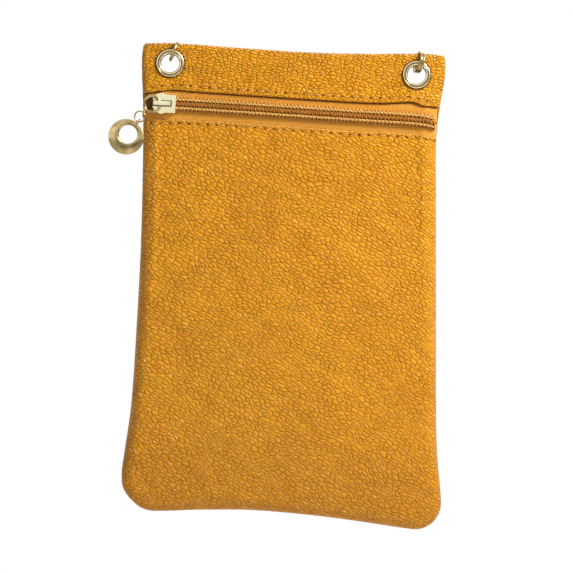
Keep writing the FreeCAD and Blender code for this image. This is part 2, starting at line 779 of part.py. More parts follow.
def charm_ring(doc):
    """The charm: a lens with its hole off centre, and a loop cast on at the thin side."""
    body = new_body(doc, "charm_ring")
    half = size("charm_thick") / 2
    profile = [(size("charm_flat"), half), (size("charm_shoulder"), size("charm_shoulder_half")),
               (size("charm_radius"), size("charm_rim_half"))]
    axis = as_formula(0)
    front = [(axis, half)] + profile
    sketch = new_sketch(body, "XY_Plane", "charm_section")
    draw_polygon(sketch, front + [(x, -y) for x, y in front[::-1]])
    revolve = new_feature(body, "Revolution", "charm_turn", sketch)
    revolve.ReferenceAxis = (sketch, ["V_Axis"])
    revolve.Angle = 360
    for (radius, depth), curve in zip(profile[1:], ("charm_face_round", "charm_rim_round")):
        fillet(doc, body, any_of(circle_at(radius, depth), circle_at(radius, -depth)), size(curve), curve)
    hole = new_sketch(body, "XZ_Plane", "charm_hole")
    draw_circle(hole, size("charm_hole_x"), size("charm_hole_z"), size("charm_hole"))
    cut_through(body, hole, "charm_cut")
    bore = bore_rim(size("charm_hole_x"), size("charm_hole_z"), size("charm_hole"))
    fillet(doc, body, bore, size("charm_hole_round"), "charm_bore_rim")
    bail = body.newObject("PartDesign::AdditiveTorus", "charm_bail")
    bail.setExpression("Radius1", size("bail_radius").text)
    bail.setExpression("Radius2", size("bail_wire").text)
    lean = Formula(math.degrees(math.atan2(SIZES["bail_z"], SIZES["bail_x"])),
                   "(atan2(Sizes.bail_z; Sizes.bail_x) / 1 deg)")
    place(bail, size("bail_x"), 0, size("bail_z"), [("y", -lean)])
    body.Tip = bail
    across, height = hung_place(link_places()[1], "link_lower", "bail", "charm")
    place(body, across - size("bail_x"), -pull_depth(), height - size("bail_z"))
    keep(body)


def eyelet_faces():
    """Depths of the leather's front and back faces at the eyelets."""
    return size("lining") * 2 + size("leather"), -size("leather")


def eyelet(doc, side, sign):
    """A brass eyelet: a rounded flange in front, a barrel, and a rolled lip over the washer at the back."""
    body = new_body(doc, "eyelet_" + side)
    front, back = eyelet_faces()
    bore = size("eyelet_bore")
    barrel = bore + size("eyelet_wall")
    flange_top = front + size("eyelet_rise")
    lip_seat = back - size("washer_thick")
    lip_end = lip_seat - size("eyelet_lip_thick")
    sketch = new_sketch(body, "XY_Plane", "eyelet_section_" + side)
    rim = size("eyelet_flange")
    lip = size("eyelet_lip")
    draw_polygon(sketch, [(bore, -flange_top), (rim, -flange_top), (rim, -front), (barrel, -front),
                          (barrel, -lip_seat), (lip, -lip_seat), (lip, -lip_end), (bore, -lip_end)])
    revolve = new_feature(body, "Revolution", "eyelet_turn_" + side, sketch)
    revolve.ReferenceAxis = (sketch, ["V_Axis"])
    revolve.Angle = 360
    rounds = any_of(circle_at(rim, -flange_top), circle_at(bore, -flange_top))
    fillet(doc, body, rounds, size("eyelet_round"), "eyelet_rounds_" + side)
    rolled = any_of(circle_at(lip, -lip_end), circle_at(bore, -lip_end))
    fillet(doc, body, rolled, size("eyelet_lip_thick") * 0.8, "eyelet_lip_rounds_" + side)
    groove_sketch = new_sketch(body, "XY_Plane", "eyelet_groove_section_" + side)
    groove_at = (barrel + rim) / 2 - size("eyelet_groove") / 2
    draw_circle(groove_sketch, groove_at, -flange_top - size("eyelet_groove") / 3, size("eyelet_groove"))
    groove = new_feature(body, "Groove", "eyelet_groove_" + side, groove_sketch)
    groove.ReferenceAxis = (groove_sketch, ["V_Axis"])
    groove.Angle = 360
    place(body, eyelet_across() * sign)
    keep(body)


def eyelet_washer(doc, side, sign):
    """The washer that the eyelet is rolled over at the back."""
    body = new_body(doc, "eyelet_washer_" + side)
    front, back = eyelet_faces()
    inner = size("eyelet_bore") + size("eyelet_wall") + size("eyelet_hole_gap")
    outer = size("washer_radius")
    rear = back - size("washer_thick")
    sketch = new_sketch(body, "XY_Plane", "washer_section_" + side)
    draw_polygon(sketch, [(inner, -back), (outer, -back), (outer, -rear), (inner, -rear)])
    revolve = new_feature(body, "Revolution", "washer_turn_" + side, sketch)
    revolve.ReferenceAxis = (sketch, ["V_Axis"])
    revolve.Angle = 360
    fillet(doc, body, circle_at(outer, -rear), size("washer_round"), "washer_rim_" + side)
    place(body, eyelet_across() * sign)
    keep(body)


def strap_radius():
    """Radius of a strap ring's round sides, with which the ring that leans more clears the top edge."""
    height = size("top_rise") - size("strap_seat") + size("strap_wire") + size("strap_clear")
    return height / (cosine(size("strap_left_lean")) * 2)


def strap_ring(doc, side, sign):
    """An end ring of the strap: an oval link through the eyelet and over the top edge."""
    body = new_body(doc, "strap_ring_" + side)
    flat = size("strap_half_flat")
    path = new_sketch(body, "YZ_Plane", "strap_path_" + side)
    draw_oval(path, flat, strap_radius())
    wire = new_sketch(body, "XZ_Plane", "strap_wire_" + side, flat)
    if side == "left":
        draw_circle(wire, 0, 0, size("strap_wire"))
    else:
        draw_twin_circles(wire, size("strap_wire"), size("strap_pair"))
    pipe = new_feature(body, "AdditivePipe", "strap_pipe_" + side, wire)
    pipe.Spine = (path, [])
    front, back = eyelet_faces()
    turns = [("z", size("strap_%s_turn" % side)), ("y", size("strap_%s_lean" % side))]
    place(body, eyelet_across() * sign, -(front + back) / 2, size("strap_seat"), turns)
    keep(body)


def draw_oval(sketch, flat, radius):
    """A closed oval that stands on the sketch's origin: two level sides and two half rounds."""
    up = Vector(0, 0, 1)
    top = radius * 2
    right = Part.Circle(Vector(flat.value, radius.value, 0), up, radius.value)
    left = Part.Circle(Vector(-flat.value, radius.value, 0), up, radius.value)
    quarter = math.pi / 2
    sketch.addGeometry(Part.LineSegment(Vector(-flat.value, 0, 0), Vector(flat.value, 0, 0)), False)
    sketch.addGeometry(Part.ArcOfCircle(right, -quarter, quarter), False)
    level_top = Part.LineSegment(Vector(flat.value, top.value, 0), Vector(-flat.value, top.value, 0))
    sketch.addGeometry(level_top, False)
    sketch.addGeometry(Part.ArcOfCircle(left, quarter, 3 * quarter), False)
    for i in range(4):
        sketch.addConstraint(Sketcher.Constraint("Coincident", i, 2, (i + 1) % 4, 1))
    level = as_formula(0)
    pin_point(sketch, 0, 1, -flat, level)
    pin_point(sketch, 0, 2, flat, level)
    pin_point(sketch, 2, 1, flat, top)
    pin_point(sketch, 2, 2, -flat, top)
    bind(sketch, Sketcher.Constraint("DistanceX", -1, 1, 1, 3, flat.value), flat)
    bind(sketch, Sketcher.Constraint("DistanceX", -1, 1, 3, 3, -flat.value), -flat)


def draw_twin_circles(sketch, radius, half_pitch):
    """Section of a double ring: two round wires side by side that run into each other."""
    up = Vector(0, 0, 1)
    level = as_formula(0)
    angle = math.acos(half_pitch.value / radius.value)
    right = Part.Circle(Vector(half_pitch.value, 0, 0), up, radius.value)
    left = Part.Circle(Vector(-half_pitch.value, 0, 0), up, radius.value)
    sketch.addGeometry(Part.ArcOfCircle(right, angle - math.pi, math.pi - angle), False)
    sketch.addGeometry(Part.ArcOfCircle(left, angle, 2 * math.pi - angle), False)
    for i in range(2):
        sketch.addConstraint(Sketcher.Constraint("Coincident", i, 2, 1 - i, 1))
    pin_point(sketch, 0, 3, half_pitch, level)
    pin_point(sketch, 1, 3, -half_pitch, level)
    bind(sketch, Sketcher.Constraint("Radius", 0, radius.value), radius)
    bind(sketch, Sketcher.Constraint("Radius", 1, radius.value), radius)


def stitch_row(doc, side):
    """A row of top stitches, each lying on the leather."""
    body = new_body(doc, "stitch_row_" + side)
    start = size("stitch_start")
    sketch = new_sketch(body, "YZ_Plane", "stitch_section_" + side, start)
    thick = size("stitch_thick")
    half = size("stitch_width") / 2
    if side == "upper":
        lifted = band_depths()[1] + size("leather")
        fall = tape_bend_depth() / size("tape_upper_tuck")
        middle = size("band_reach") + size("stitch_upper_margin")
        low_depth = lifted - fall * (middle - half - size("band_reach"))
        high_depth = lifted - fall * (middle + half - size("band_reach"))
        corners = [(-low_depth, middle - half), (-high_depth, middle + half),
                   (-high_depth - thick, middle + half), (-low_depth - thick, middle - half)]
    else:
        middle = -(size("hem_reach") + size("stitch_lower_margin"))
        depth = size("stitch_lower_depth")
        corners = [(-depth, middle - half), (-depth, middle + half),
                   (-depth - thick, middle + half), (-depth - thick, middle - half)]
    draw_polygon(sketch, corners)
    stitch = pad(body, sketch, size("stitch_length"), "stitch_pad_" + side)
    row_of(body, stitch, size("stitch_pitch"), size("stitch_count"), "stitch_pattern_" + side)
    place_on_zip(body)
    keep(body)


def build(doc):
    """Makes every piece."""
    new_sheet(doc)
    back_panel(doc)
    front_panel(doc)
    top_band(doc)
    lining_back(doc)
    lining_front(doc)
    lining_band(doc)
    zipper_tape_upper(doc)
    zipper_tape_lower(doc)
    for side, sign in (("upper", 1), ("lower", -1)):
        zipper_coil(doc, side, sign)
        coil_cord(doc, side, sign)
        stitch_row(doc, side)
    slider_body(doc)
    slider_bridge(doc)
    pull_and_links(doc)
    charm_ring(doc)
    for side, sign in (("left", -1), ("right", 1)):
        eyelet(doc, side, sign)
        eyelet_washer(doc, side, sign)
        strap_ring(doc, side, sign)
    doc.recompute()


def check(doc):
    """Stops if an object failed or a piece is not a sound solid."""
    for item in doc.Objects:
        if "Invalid" in item.State or "Error" in item.State:
            raise RuntimeError("%s failed: %s" % (item.Name, item.State))
    for piece in NODES:
        if piece.Shape.isNull() or not piece.Shape.isValid() or not piece.Shape.Solids:
            raise RuntimeError(piece.Label + " has no valid solid")


def write():
    """Writes each piece to its own file."""
    os.makedirs("parts", exist_ok=True)
    for piece in NODES:
        piece.Shape.exportStep("parts/%s.step" % piece.Label)
        box = piece.Shape.BoundBox
        print("%s: %d solid(s), %.1f mm3, X %.2f..%.2f Y %.2f..%.2f Z %.2f..%.2f" % (
            piece.Label, len(piece.Shape.Solids), piece.Shape.Volume,
            box.XMin, box.XMax, box.YMin, box.YMax, box.ZMin, box.ZMax))


document = FreeCAD.newDocument("phone_pouch")
build(document)
check(document)
write()
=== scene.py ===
# %% [markdown]
# # A zip pouch in pebbled leather
# The pouch is two soft leather shells sewn edge to edge, with a zip let into the front. A stiff CAD frame
# already says where every piece sits, so this lesson dresses it: the leather, the tapes, the coil and the
# stitches are made here as soft forms, and the metal keeps its CAD shape and gets a good finish.

import math

import bpy
from mathutils import Matrix, Vector, noise


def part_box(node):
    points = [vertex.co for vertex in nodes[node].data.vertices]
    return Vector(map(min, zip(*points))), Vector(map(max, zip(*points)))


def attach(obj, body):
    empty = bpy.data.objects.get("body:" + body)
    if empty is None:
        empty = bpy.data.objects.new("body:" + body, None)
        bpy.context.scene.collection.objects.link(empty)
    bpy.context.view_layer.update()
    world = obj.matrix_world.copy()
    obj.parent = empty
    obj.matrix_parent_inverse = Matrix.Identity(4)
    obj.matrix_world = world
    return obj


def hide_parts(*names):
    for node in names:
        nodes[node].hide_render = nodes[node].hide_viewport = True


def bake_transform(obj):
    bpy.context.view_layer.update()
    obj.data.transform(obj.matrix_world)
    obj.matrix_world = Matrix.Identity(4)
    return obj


MM = 0.001
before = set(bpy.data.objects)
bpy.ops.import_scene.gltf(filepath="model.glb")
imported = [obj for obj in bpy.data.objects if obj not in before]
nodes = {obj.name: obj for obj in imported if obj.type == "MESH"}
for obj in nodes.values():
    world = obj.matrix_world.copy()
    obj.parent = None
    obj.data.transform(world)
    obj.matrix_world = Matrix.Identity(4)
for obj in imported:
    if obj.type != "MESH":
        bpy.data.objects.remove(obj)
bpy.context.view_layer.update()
print("CAD nodes:", len(nodes))

# %% [markdown]
# ## The camera
# The photograph looks straight at the front from far away, turned a little about the line of sight. A long
# lens does the same. The camera's three axes are written as the columns of a matrix, so no angles have to
# be juggled.

# %% Camera
PHOTO_ROLL = math.radians(2.67)
PHOTO_PIXELS = 573
MM_PER_PIXEL = 0.38
LOOK_AT = Vector((1.2, 0.0, -82.6)) * MM
CAMERA_DISTANCE = 1.6
SENSOR = 36.0

camera_right = Vector((math.cos(PHOTO_ROLL), 0, math.sin(PHOTO_ROLL)))
camera_up = Vector((-math.sin(PHOTO_ROLL), 0, math.cos(PHOTO_ROLL)))
camera_back = Vector((0, -1, 0))
bpy.ops.object.select_all(action="DESELECT")
bpy.ops.object.camera_add()
camera = bpy.context.object
turn = Matrix((camera_right, camera_up, camera_back)).transposed().to_4x4()
camera.matrix_world = Matrix.Translation(LOOK_AT + camera_back * CAMERA_DISTANCE) @ turn
camera.data.sensor_width = SENSOR
camera.data.lens = SENSOR * CAMERA_DISTANCE / (PHOTO_PIXELS * MM_PER_PIXEL * MM)
bpy.context.scene.camera = camera
print("lens", round(camera.data.lens), "mm")

# %% [markdown]
# ## The pouch's outline
# Leather that has been sewn and turned is never straight: the sides draw in below the zip and the bottom
# corners swell. A few measured points for each edge, joined by a smooth curve, are enough to carry that.

# %% Outline
LEFT_EDGE = ((8.0, -57.2), (0.8, -57.7), (-17, -56.4), (-36, -55.6), (-66, -54.9), (-90, -54.9),
             (-130, -55.7), (-148, -57.4), (-156, -58.1), (-164, -57.4), (-172, -55.8))
RIGHT_EDGE = ((8.0, 57.3), (0, 57.6), (-12, 56.2), (-20, 55.5), (-28, 55.5), (-47, 56.4), (-85, 58.2),
              (-123, 60.0), (-143, 61.3), (-160, 63.5), (-174, 64.0))
TOP_EDGE = ((-58, 7.2), (-47, 7.8), (-20, 7.2), (5, 6.7), (30, 7.3), (50, 8.2), (58, 7.6))
BOTTOM_EDGE = ((-59, -170.4), (-43, -170.0), (-28, -168.9), (-9, -168.1), (10, -168.7), (29, -170.1),
               (52, -172.4), (64, -172.9))
CROWN = ((-15, 3.3), (-22, 3.5), (-50, 4.9), (-88, 7.0), (-120, 7.1), (-138, 6.5), (-158, 4.8), (-175, 3.4))


def smooth_curve(points, at):
    """The value at a place along points that are joined by smooth arcs."""
    points = sorted(points)
    at = min(max(at, points[0][0]), points[-1][0])
    last = len(points) - 2
    i = max(k for k in range(last + 1) if points[k][0] <= at)
    (x0, y0), (x1, y1) = points[i], points[i + 1]
    before = points[max(i - 1, 0)]
    after = points[min(i + 2, len(points) - 1)]
    start_slope = (y1 - before[1]) / (x1 - before[0])
    end_slope = (after[1] - y0) / (after[0] - x0)
    width = x1 - x0
    u = (at - x0) / width
    rise = (2 * u ** 3 - 3 * u ** 2 + 1) * y0 + (3 * u ** 2 - 2 * u ** 3) * y1
    return rise + width * ((u ** 3 - 2 * u ** 2 + u) * start_slope + (u ** 3 - u ** 2) * end_slope)


def ease(low, high, at):
    """0 before low and 1 after high, with a soft change between."""
    u = min(max((at - low) / (high - low), 0.0), 1.0)
    return u * u * (3 - 2 * u)


def quarter_round(distance, radius):
    """Rises like a quarter circle from 0 at the edge to 1 at the radius."""
    u = min(max(distance / radius, 0.0), 1.0)
    return math.sqrt(1 - (1 - u) ** 2)


def bell(distance, width):
    """1 at no distance, and softly less further off."""
    return math.exp(-(distance / width) ** 2)


print("width at the eyelets", smooth_curve(RIGHT_EDGE, 0) - smooth_curve(LEFT_EDGE, 0), "mm")

# %% [markdown]
# ## The zip's line
# The zip falls a little to the right, and at its right end it dives into the side seam, where the tape is
# caught between front and back. Everything along the zip uses the same two helpers, so it all bends
# together.

# %% Zip line
ZIP_HEIGHT = -16.5
ZIP_SLOPE = math.radians(1.2)
BAND_REACH = 5.2
HEM_REACH = -5.8
ZIP_DIVE = 1.5
DIVE_START = 50.0
DIVE_END = 56.0
CHAIN_BOW = ((-57, 0.0), (-48, 0.1), (-40, 0.35), (-10, 0.4), (18, 0.4), (30, 0.45), (44, 0.5), (49, 0.4),
             (52.7, 0.0), (57, -0.8))
BAND_BOW = ((-58, -2.1), (-52, -1.0), (-48, -0.05), (-44, 0.2), (-30, 0.1), (22, 0.2), (35, 0.6), (43, 1.55),
            (46.3, 1.7), (49.5, 0.65), (53.6, 0.55), (58, 0.2))
HEM_BOW = ((-58, -0.7), (-50, -0.5), (-43, 0.0), (-26, 0.3), (10, 0.2), (22, 0.1), (32, 0.45), (47, 0.5),
           (55, 0.0), (58, -0.1))


def zip_line(x):
    """Height of the straight line that the zip was sewn to."""
    return ZIP_HEIGHT - math.tan(ZIP_SLOPE) * x


def zip_height(x, across=0.0):
    """Height of a line that runs beside the chain, across above it."""
    return zip_line(x) + across + smooth_curve(CHAIN_BOW, x)


def zip_sink(x):
    """How far the zip has sunk towards the seam at its right end."""
    return ZIP_DIVE * ease(DIVE_START, DIVE_END, x)


print("zip height at left and right", round(zip_height(-55), 1), round(zip_height(55), 1), "mm")

# %% [markdown]
# ## Leather shells
# A leather piece starts as a flat grid, dense along its edges. Each corner of the grid is moved to its
# place on the pouch, edges rolling back to the seam, and Solidify then gives the sheet its thickness.
# Rounded corners come from squeezing a square's corner into a quarter disc, which keeps the grid even.

# %% Leather helpers
LEATHER = 1.1
CORNER = 11.0
SEAM_ZERO = 10.0
EDGE_PACKING = 0.8
EYELET_X = 46.85
EYELET_HOLE = 4.0
PUNCH_LENGTH = 20.0
SHEET_SHARP = math.radians(50)


def pack_edges(u):
    """Moves evenly spaced values towards 0 and 1, for a finer grid along edges."""
    return u - EDGE_PACKING * math.sin(2 * math.pi * u) / (2 * math.pi)


def select_only(piece):
    """Makes one object the selected and active one."""
    bpy.ops.object.select_all(action="DESELECT")
    piece.select_set(True)
    bpy.context.view_layer.objects.active = piece


def unroll(sheet, corners, columns, rows, lay):
    """Keeps each corner's place on the flat sheet, measured along its row and column and laid by a turn."""
    def length(first, second):
        return (sheet.data.vertices[corners[first]].co - sheet.data.vertices[corners[second]].co).length

    middle = columns // 2
    flat = sheet.data.attributes.new("flat_place", "FLOAT_VECTOR", "POINT")
    down = [sheet.data.vertices[corners[i, 0]].co.z for i in range(columns + 1)]
    for j in range(rows + 1):
        across = {middle: sheet.data.vertices[corners[middle, j]].co.x}
        for i in range(middle, columns):
            across[i + 1] = across[i] + length((i, j), (i + 1, j))
        for i in range(middle, 0, -1):
            across[i - 1] = across[i] - length((i, j), (i - 1, j))
        for i in range(columns + 1):
            if j:
                down[i] -= length((i, j), (i, j - 1))
            flat.data[corners[i, j]].vector = lay @ Vector((across[i], down[i], 0))


def grid_sheet(name, columns, rows, place, seam_gap=None, lay=Matrix()):
    """A grid whose corners go where place(s, t) says: across, depth towards the front, and height in mm.

    With seam_gap(x, z), each corner also keeps its distance in mm from the line of stitches, plus SEAM_ZERO.
    With lay, the grain is turned and made finer on the flat sheet.
    """
    bpy.ops.object.select_all(action="DESELECT")
    bpy.ops.mesh.primitive_grid_add(x_subdivisions=columns, y_subdivisions=rows, size=2)
    sheet = bpy.context.object
    sheet.name = name
    corners = {}
    for vertex in sheet.data.vertices:
        u = (vertex.co.x + 1) / 2
        v = (1 - vertex.co.y) / 2
        corners[round(u * columns), round(v * rows)] = vertex.index
        x, depth, z = place(pack_edges(u), pack_edges(v))
        vertex.co = Vector((x, -depth, z)) * MM
    unroll(sheet, corners, columns, rows, lay)
    if seam_gap:
        seam = sheet.data.attributes.new("seam", "FLOAT", "POINT")
        for vertex in sheet.data.vertices:
            seam.data[vertex.index].value = SEAM_ZERO + seam_gap(vertex.co.x / MM, vertex.co.z / MM)
    return sheet


def apply_modifier(piece, kind, **settings):
    """Adds a modifier, sets it and applies it."""
    select_only(piece)
    modifier = piece.modifiers.new(kind.title(), kind)
    for key, value in settings.items():
        setattr(modifier, key, value)
    bpy.ops.object.modifier_apply(modifier=modifier.name)


def flip(piece):
    """Turns a sheet's faces to the other side."""
    select_only(piece)
    bpy.ops.object.mode_set(mode="EDIT")
    bpy.ops.mesh.select_all(action="SELECT")
    bpy.ops.mesh.flip_normals()
    bpy.ops.object.mode_set(mode="OBJECT")


def thicken(piece, thickness):
    """Gives a sheet its thickness on the inner side and shades it smooth up to its cut edges."""
    apply_modifier(piece, "SOLIDIFY", thickness=thickness * MM, offset=-1.0, use_even_offset=True,
                   use_rim=True)
    bpy.ops.object.shade_smooth_by_angle(angle=SHEET_SHARP)


def round_corner(left_gap, bottom_gap, radius):
    """Squeezes a square corner into a quarter disc: the new gaps, and the distance to the rounded edge."""
    p = max(1 - left_gap / radius, 0.0)
    q = max(1 - bottom_gap / radius, 0.0)
    if p == 0 or q == 0:
        return left_gap, bottom_gap, min(left_gap, bottom_gap)
    p_round = p * math.sqrt(1 - q * q / 2)
    q_round = q * math.sqrt(1 - p * p / 2)
    gap = radius * (1 - math.hypot(p_round, q_round))
    return radius * (1 - p_round), radius * (1 - q_round), gap


def place_in_outline(s, t, top_at, bottom_at, top_corner=0.0, bottom_corner=0.0):
    """A place inside the outline, with its distances to the nearest side or rounded corner."""
    row = top_at(0) + (bottom_at(0) - top_at(0)) * t
    left = smooth_curve(LEFT_EDGE, row)
    right = smooth_curve(RIGHT_EDGE, row)
    x = left + (right - left) * s
    top = top_at(x)
    bottom = bottom_at(x)
    z = top + (bottom - top) * t
    left = smooth_curve(LEFT_EDGE, z)
    right = smooth_curve(RIGHT_EDGE, z)
    x = left + (right - left) * s
    gap = side = min(x - left, right - x)
    if top_corner > 0:
        side, drop, gap = round_corner(side, top - z, top_corner)
        z = top - drop
    if bottom_corner > 0 and t > 0.5:
        side, lift, gap = round_corner(side, z - bottom, bottom_corner)
        z = bottom + lift
    x = left + side if s < 0.5 else right - side
    return x, z, gap


def soft_wave(x, z, size, seed):
    """A gentle unevenness, from -1 to 1."""
    return noise.noise(Vector((x / size, z / size, seed)))


def cut_eyelet_holes(piece):
    """Punches the two holes that the eyelets sit in."""
    for side in (-1, 1):
        bpy.ops.object.select_all(action="DESELECT")
        bpy.ops.mesh.primitive_cylinder_add(vertices=64, radius=EYELET_HOLE * MM, depth=PUNCH_LENGTH * MM,
                                            location=(side * EYELET_X * MM, 0, 0),
                                            rotation=(math.pi / 2, 0, 0))
        punch = bpy.context.object
        apply_modifier(piece, "BOOLEAN", object=punch, operation="DIFFERENCE", solver="EXACT")
        bpy.data.objects.remove(punch)


print("leather is", LEATHER, "mm thick")

# %% [markdown]
# ## The front panel
# Below the zip the front is one piece of leather. Its upper edge is a turned hem with a stitched groove,
# its belly swells in the lower half, and its sides and bottom roll back to the seam.

# %% Front panel
ROLL = 5.0
HEM_MARGIN = 1.3
BELLY_AT_SIDES = 0.80
BROAD_WAVE = 0.30
SMALL_WAVE = 0.18
SIDE_RIDGE = 0.35
FRONT_GROOVE = 0.32
GROOVE_WIDTH = 0.55
FOLD_DEPTH = 0.6
FOLD_ROLL = 0.7


def front_top(x):
    """Height of the front panel's hem."""
    return zip_line(x) + HEM_REACH + smooth_curve(HEM_BOW, x)


def bottom_edge(x):
    """Height of the pouch's lower edge."""
    return smooth_curve(BOTTOM_EDGE, x)


def belly_depth(s, z):
    """Depth of the front's belly, fullest in the middle."""
    return smooth_curve(CROWN, z) * (BELLY_AT_SIDES + (1 - BELLY_AT_SIDES) * math.sin(math.pi * s))


def front_place(s, t):
    """A place on the front panel's outside."""
    x, z, gap = place_in_outline(s, t, front_top, bottom_edge, bottom_corner=CORNER)
    below_hem = front_top(x) - z
    belly = belly_depth(s, z)
    belly += BROAD_WAVE * soft_wave(x, z, 24.0, 3.0) + SMALL_WAVE * soft_wave(x, z, 9.0, 5.0)
    ridge = SIDE_RIDGE * bell(gap - ROLL, 1.2) * ease(-120, -40, z)
    groove = FRONT_GROOVE * bell(below_hem - HEM_MARGIN, GROOVE_WIDTH)
    hem = FOLD_DEPTH * (1 - quarter_round(below_hem, FOLD_ROLL))
    depth = (belly + ridge - groove - hem) * quarter_round(gap, ROLL)
    return x, max(depth, 0.0), z


def front_seam(x, z):
    """Distance below the line of stitches on the front."""
    return front_top(x) - z - HEM_MARGIN


leather_front = grid_sheet("leather_front", 120, 150, front_place, front_seam)
thicken(leather_front, LEATHER)
print("front panel:", len(leather_front.data.polygons), "faces")

# %% [markdown]
# ## The back panel
# The back lies flat, with only its edges rolled towards the seam. It carries the back halves of the
# eyelets.

# %% Back panel
BACK_DEPTH = 1.2
BACK_WAVE = 0.10
BACK_ROLL = 1.6
TOP_CORNER = 1.3


def top_edge(x):
    """Height of the pouch's upper edge."""
    return smooth_curve(TOP_EDGE, x)


def back_place(s, t):
    """A place on the back panel's outside."""
    x, z, gap = place_in_outline(s, t, top_edge, bottom_edge, TOP_CORNER, CORNER)
    edge = min(gap, top_edge(x) - z)
    wave = BACK_WAVE * soft_wave(x, z, 30.0, 8.0) * ease(8.0, 20.0, edge)
    return x, -(BACK_DEPTH + wave) * quarter_round(edge, BACK_ROLL), z


leather_back = grid_sheet("leather_back", 110, 150, back_place)
flip(leather_back)
thicken(leather_back, LEATHER)
cut_eyelet_holes(leather_back)
print("back panel:", len(leather_back.data.polygons), "faces")

# %% [markdown]
# ## The top band
# Above the zip a folded band carries the eyelets. It lies flat at the top and is lifted over the zip's tape
# along its lower edge. The eyelets press it in around their rims.

# %% Top band
BAND_FLAT = 1.8
BAND_LIFTED = 3.4
BAND_MARGIN = 1.9
BAND_GROOVE = 0.30
BAND_WAVE = 0.16
EYELET_PUCKER = 0.45
EYELET_PRESS = 0.10
TOP_EDGE_DEPTH = 0.9
TOP_ROLL = 1.5
BAND_SIDE_ROLL = 2.6
BAND_GRAIN = Matrix.Scale(1.2, 4) @ Matrix.Rotation(math.radians(-16), 4, "Z")


def band_bottom(x):
    """Height of the band's lower edge."""
    return zip_line(x) + BAND_REACH + smooth_curve(BAND_BOW, x)


def band_place(s, t):
    """A place on the band's outside."""
    x, z, side_gap = place_in_outline(s, t, top_edge, band_bottom, TOP_CORNER)
    above = z - band_bottom(x)
    depth = BAND_LIFTED - (BAND_LIFTED - BAND_FLAT) * ease(0.5, 6.0, above) - 0.8 * zip_sink(x)
    depth += BAND_WAVE * soft_wave(x, z, 11.0, 2.0) * ease(0, 4, above)
    rim = math.hypot(abs(x) - EYELET_X, z)
    depth += EYELET_PUCKER * soft_wave(x, z, 4.0, 6.0) * bell(rim - 9.5, 3.0) * ease(0, 3, above)
    depth -= EYELET_PRESS * (1 - ease(5.3, 8.5, rim))
    depth -= BAND_GROOVE * bell(above - BAND_MARGIN, GROOVE_WIDTH)
    depth -= FOLD_DEPTH * (1 - quarter_round(above, FOLD_ROLL))
    depth -= (depth - TOP_EDGE_DEPTH) * (1 - quarter_round(top_edge(x) - z, TOP_ROLL))
    return x, depth * quarter_round(side_gap + 0.05, BAND_SIDE_ROLL), z


def band_seam(x, z):
    """Distance above the line of stitches on the band."""
    return z - band_bottom(x) - BAND_MARGIN


leather_band = grid_sheet("leather_band", 120, 44, band_place, band_seam, BAND_GRAIN)
thicken(leather_band, LEATHER)
cut_eyelet_holes(leather_band)
print("top band:", len(leather_band.data.polygons), "faces")

# %% [markdown]
# ## Linings
# Inside, a thin woven lining hangs behind each leather piece. It only shows when the zip is open, so plain
# thin sheets that follow the leather are enough.

# %% Linings
LINING = 0.25
LINING_EDGE_DEPTH = 0.35
LINING_BEHIND_TAPE = 1.5
LINING_BEHIND_LEATHER = 2.0
LINING_ROLL = 6.0
BACK_LINING_DEPTH = 0.3
BAND_LINING_DEPTH = 0.58
BAND_LINING_LEFT = -55.0
BAND_LINING_WIDE = 109.4
BAND_LINING_TOP = 6.2
BAND_LINING_HIGH = 15.5


def lining_front_place(s, t):
    """A place on the front lining, just behind the leather."""
    def lining_top(x):
        return front_top(x) - 1.5

    def lining_bottom(x):
        return bottom_edge(x) + 6.0

    x, z, gap = place_in_outline(0.02 + 0.96 * s, t, lining_top, lining_bottom, bottom_corner=CORNER)
    belly = belly_depth(s, z) - LINING_BEHIND_LEATHER
    depth = LINING_BEHIND_TAPE + (belly - LINING_BEHIND_TAPE) * ease(4.0, 22.0, lining_top(x) - z)
    return x, LINING_EDGE_DEPTH + max(depth - LINING_EDGE_DEPTH, 0) * quarter_round(gap, LINING_ROLL), z


def lining_back_place(s, t):
    """A place on the back lining."""
    def lining_top(x):
        return top_edge(x) - 1.2

    def lining_bottom(x):
        return bottom_edge(x) + 8.0

    x, z = place_in_outline(0.012 + 0.976 * s, t, lining_top, lining_bottom, bottom_corner=CORNER)[:2]
    return x, BACK_LINING_DEPTH, z


def lining_band_place(s, t):
    """A place on the band's lining."""
    x = BAND_LINING_LEFT + BAND_LINING_WIDE * s
    z = BAND_LINING_TOP - BAND_LINING_HIGH * t
    return x, BAND_LINING_DEPTH, z


lining_front = grid_sheet("lining_front_cloth", 60, 70, lining_front_place)
lining_back = grid_sheet("lining_back_cloth", 60, 80, lining_back_place)
lining_band = grid_sheet("lining_band_cloth", 60, 10, lining_band_place)
for lining in (lining_front, lining_back, lining_band):
    thicken(lining, LINING)
for lining in (lining_back, lining_band):
    cut_eyelet_holes(lining)
print("linings: 3")

# %% [markdown]
# ## The zip's tapes
# A tape is a narrow woven ribbon. Its inner edge stands beside the coil and its outer edge is sewn under
# the leather, so the upper one bends back under the band.

# %% Tapes
TAPE = 0.45
TAPE_FRONT = 2.2
TAPE_LEFT = -55.3
TAPE_RIGHT = 55.2
TAPE_END_DEPTH = 0.45
TAPE_END_ROLL = 1.4
TAPE_PARTING = 2.2
TAPE_BEND_START = 5.0
TAPE_BEND = 0.35
TAPE_PUCKER = 0.07


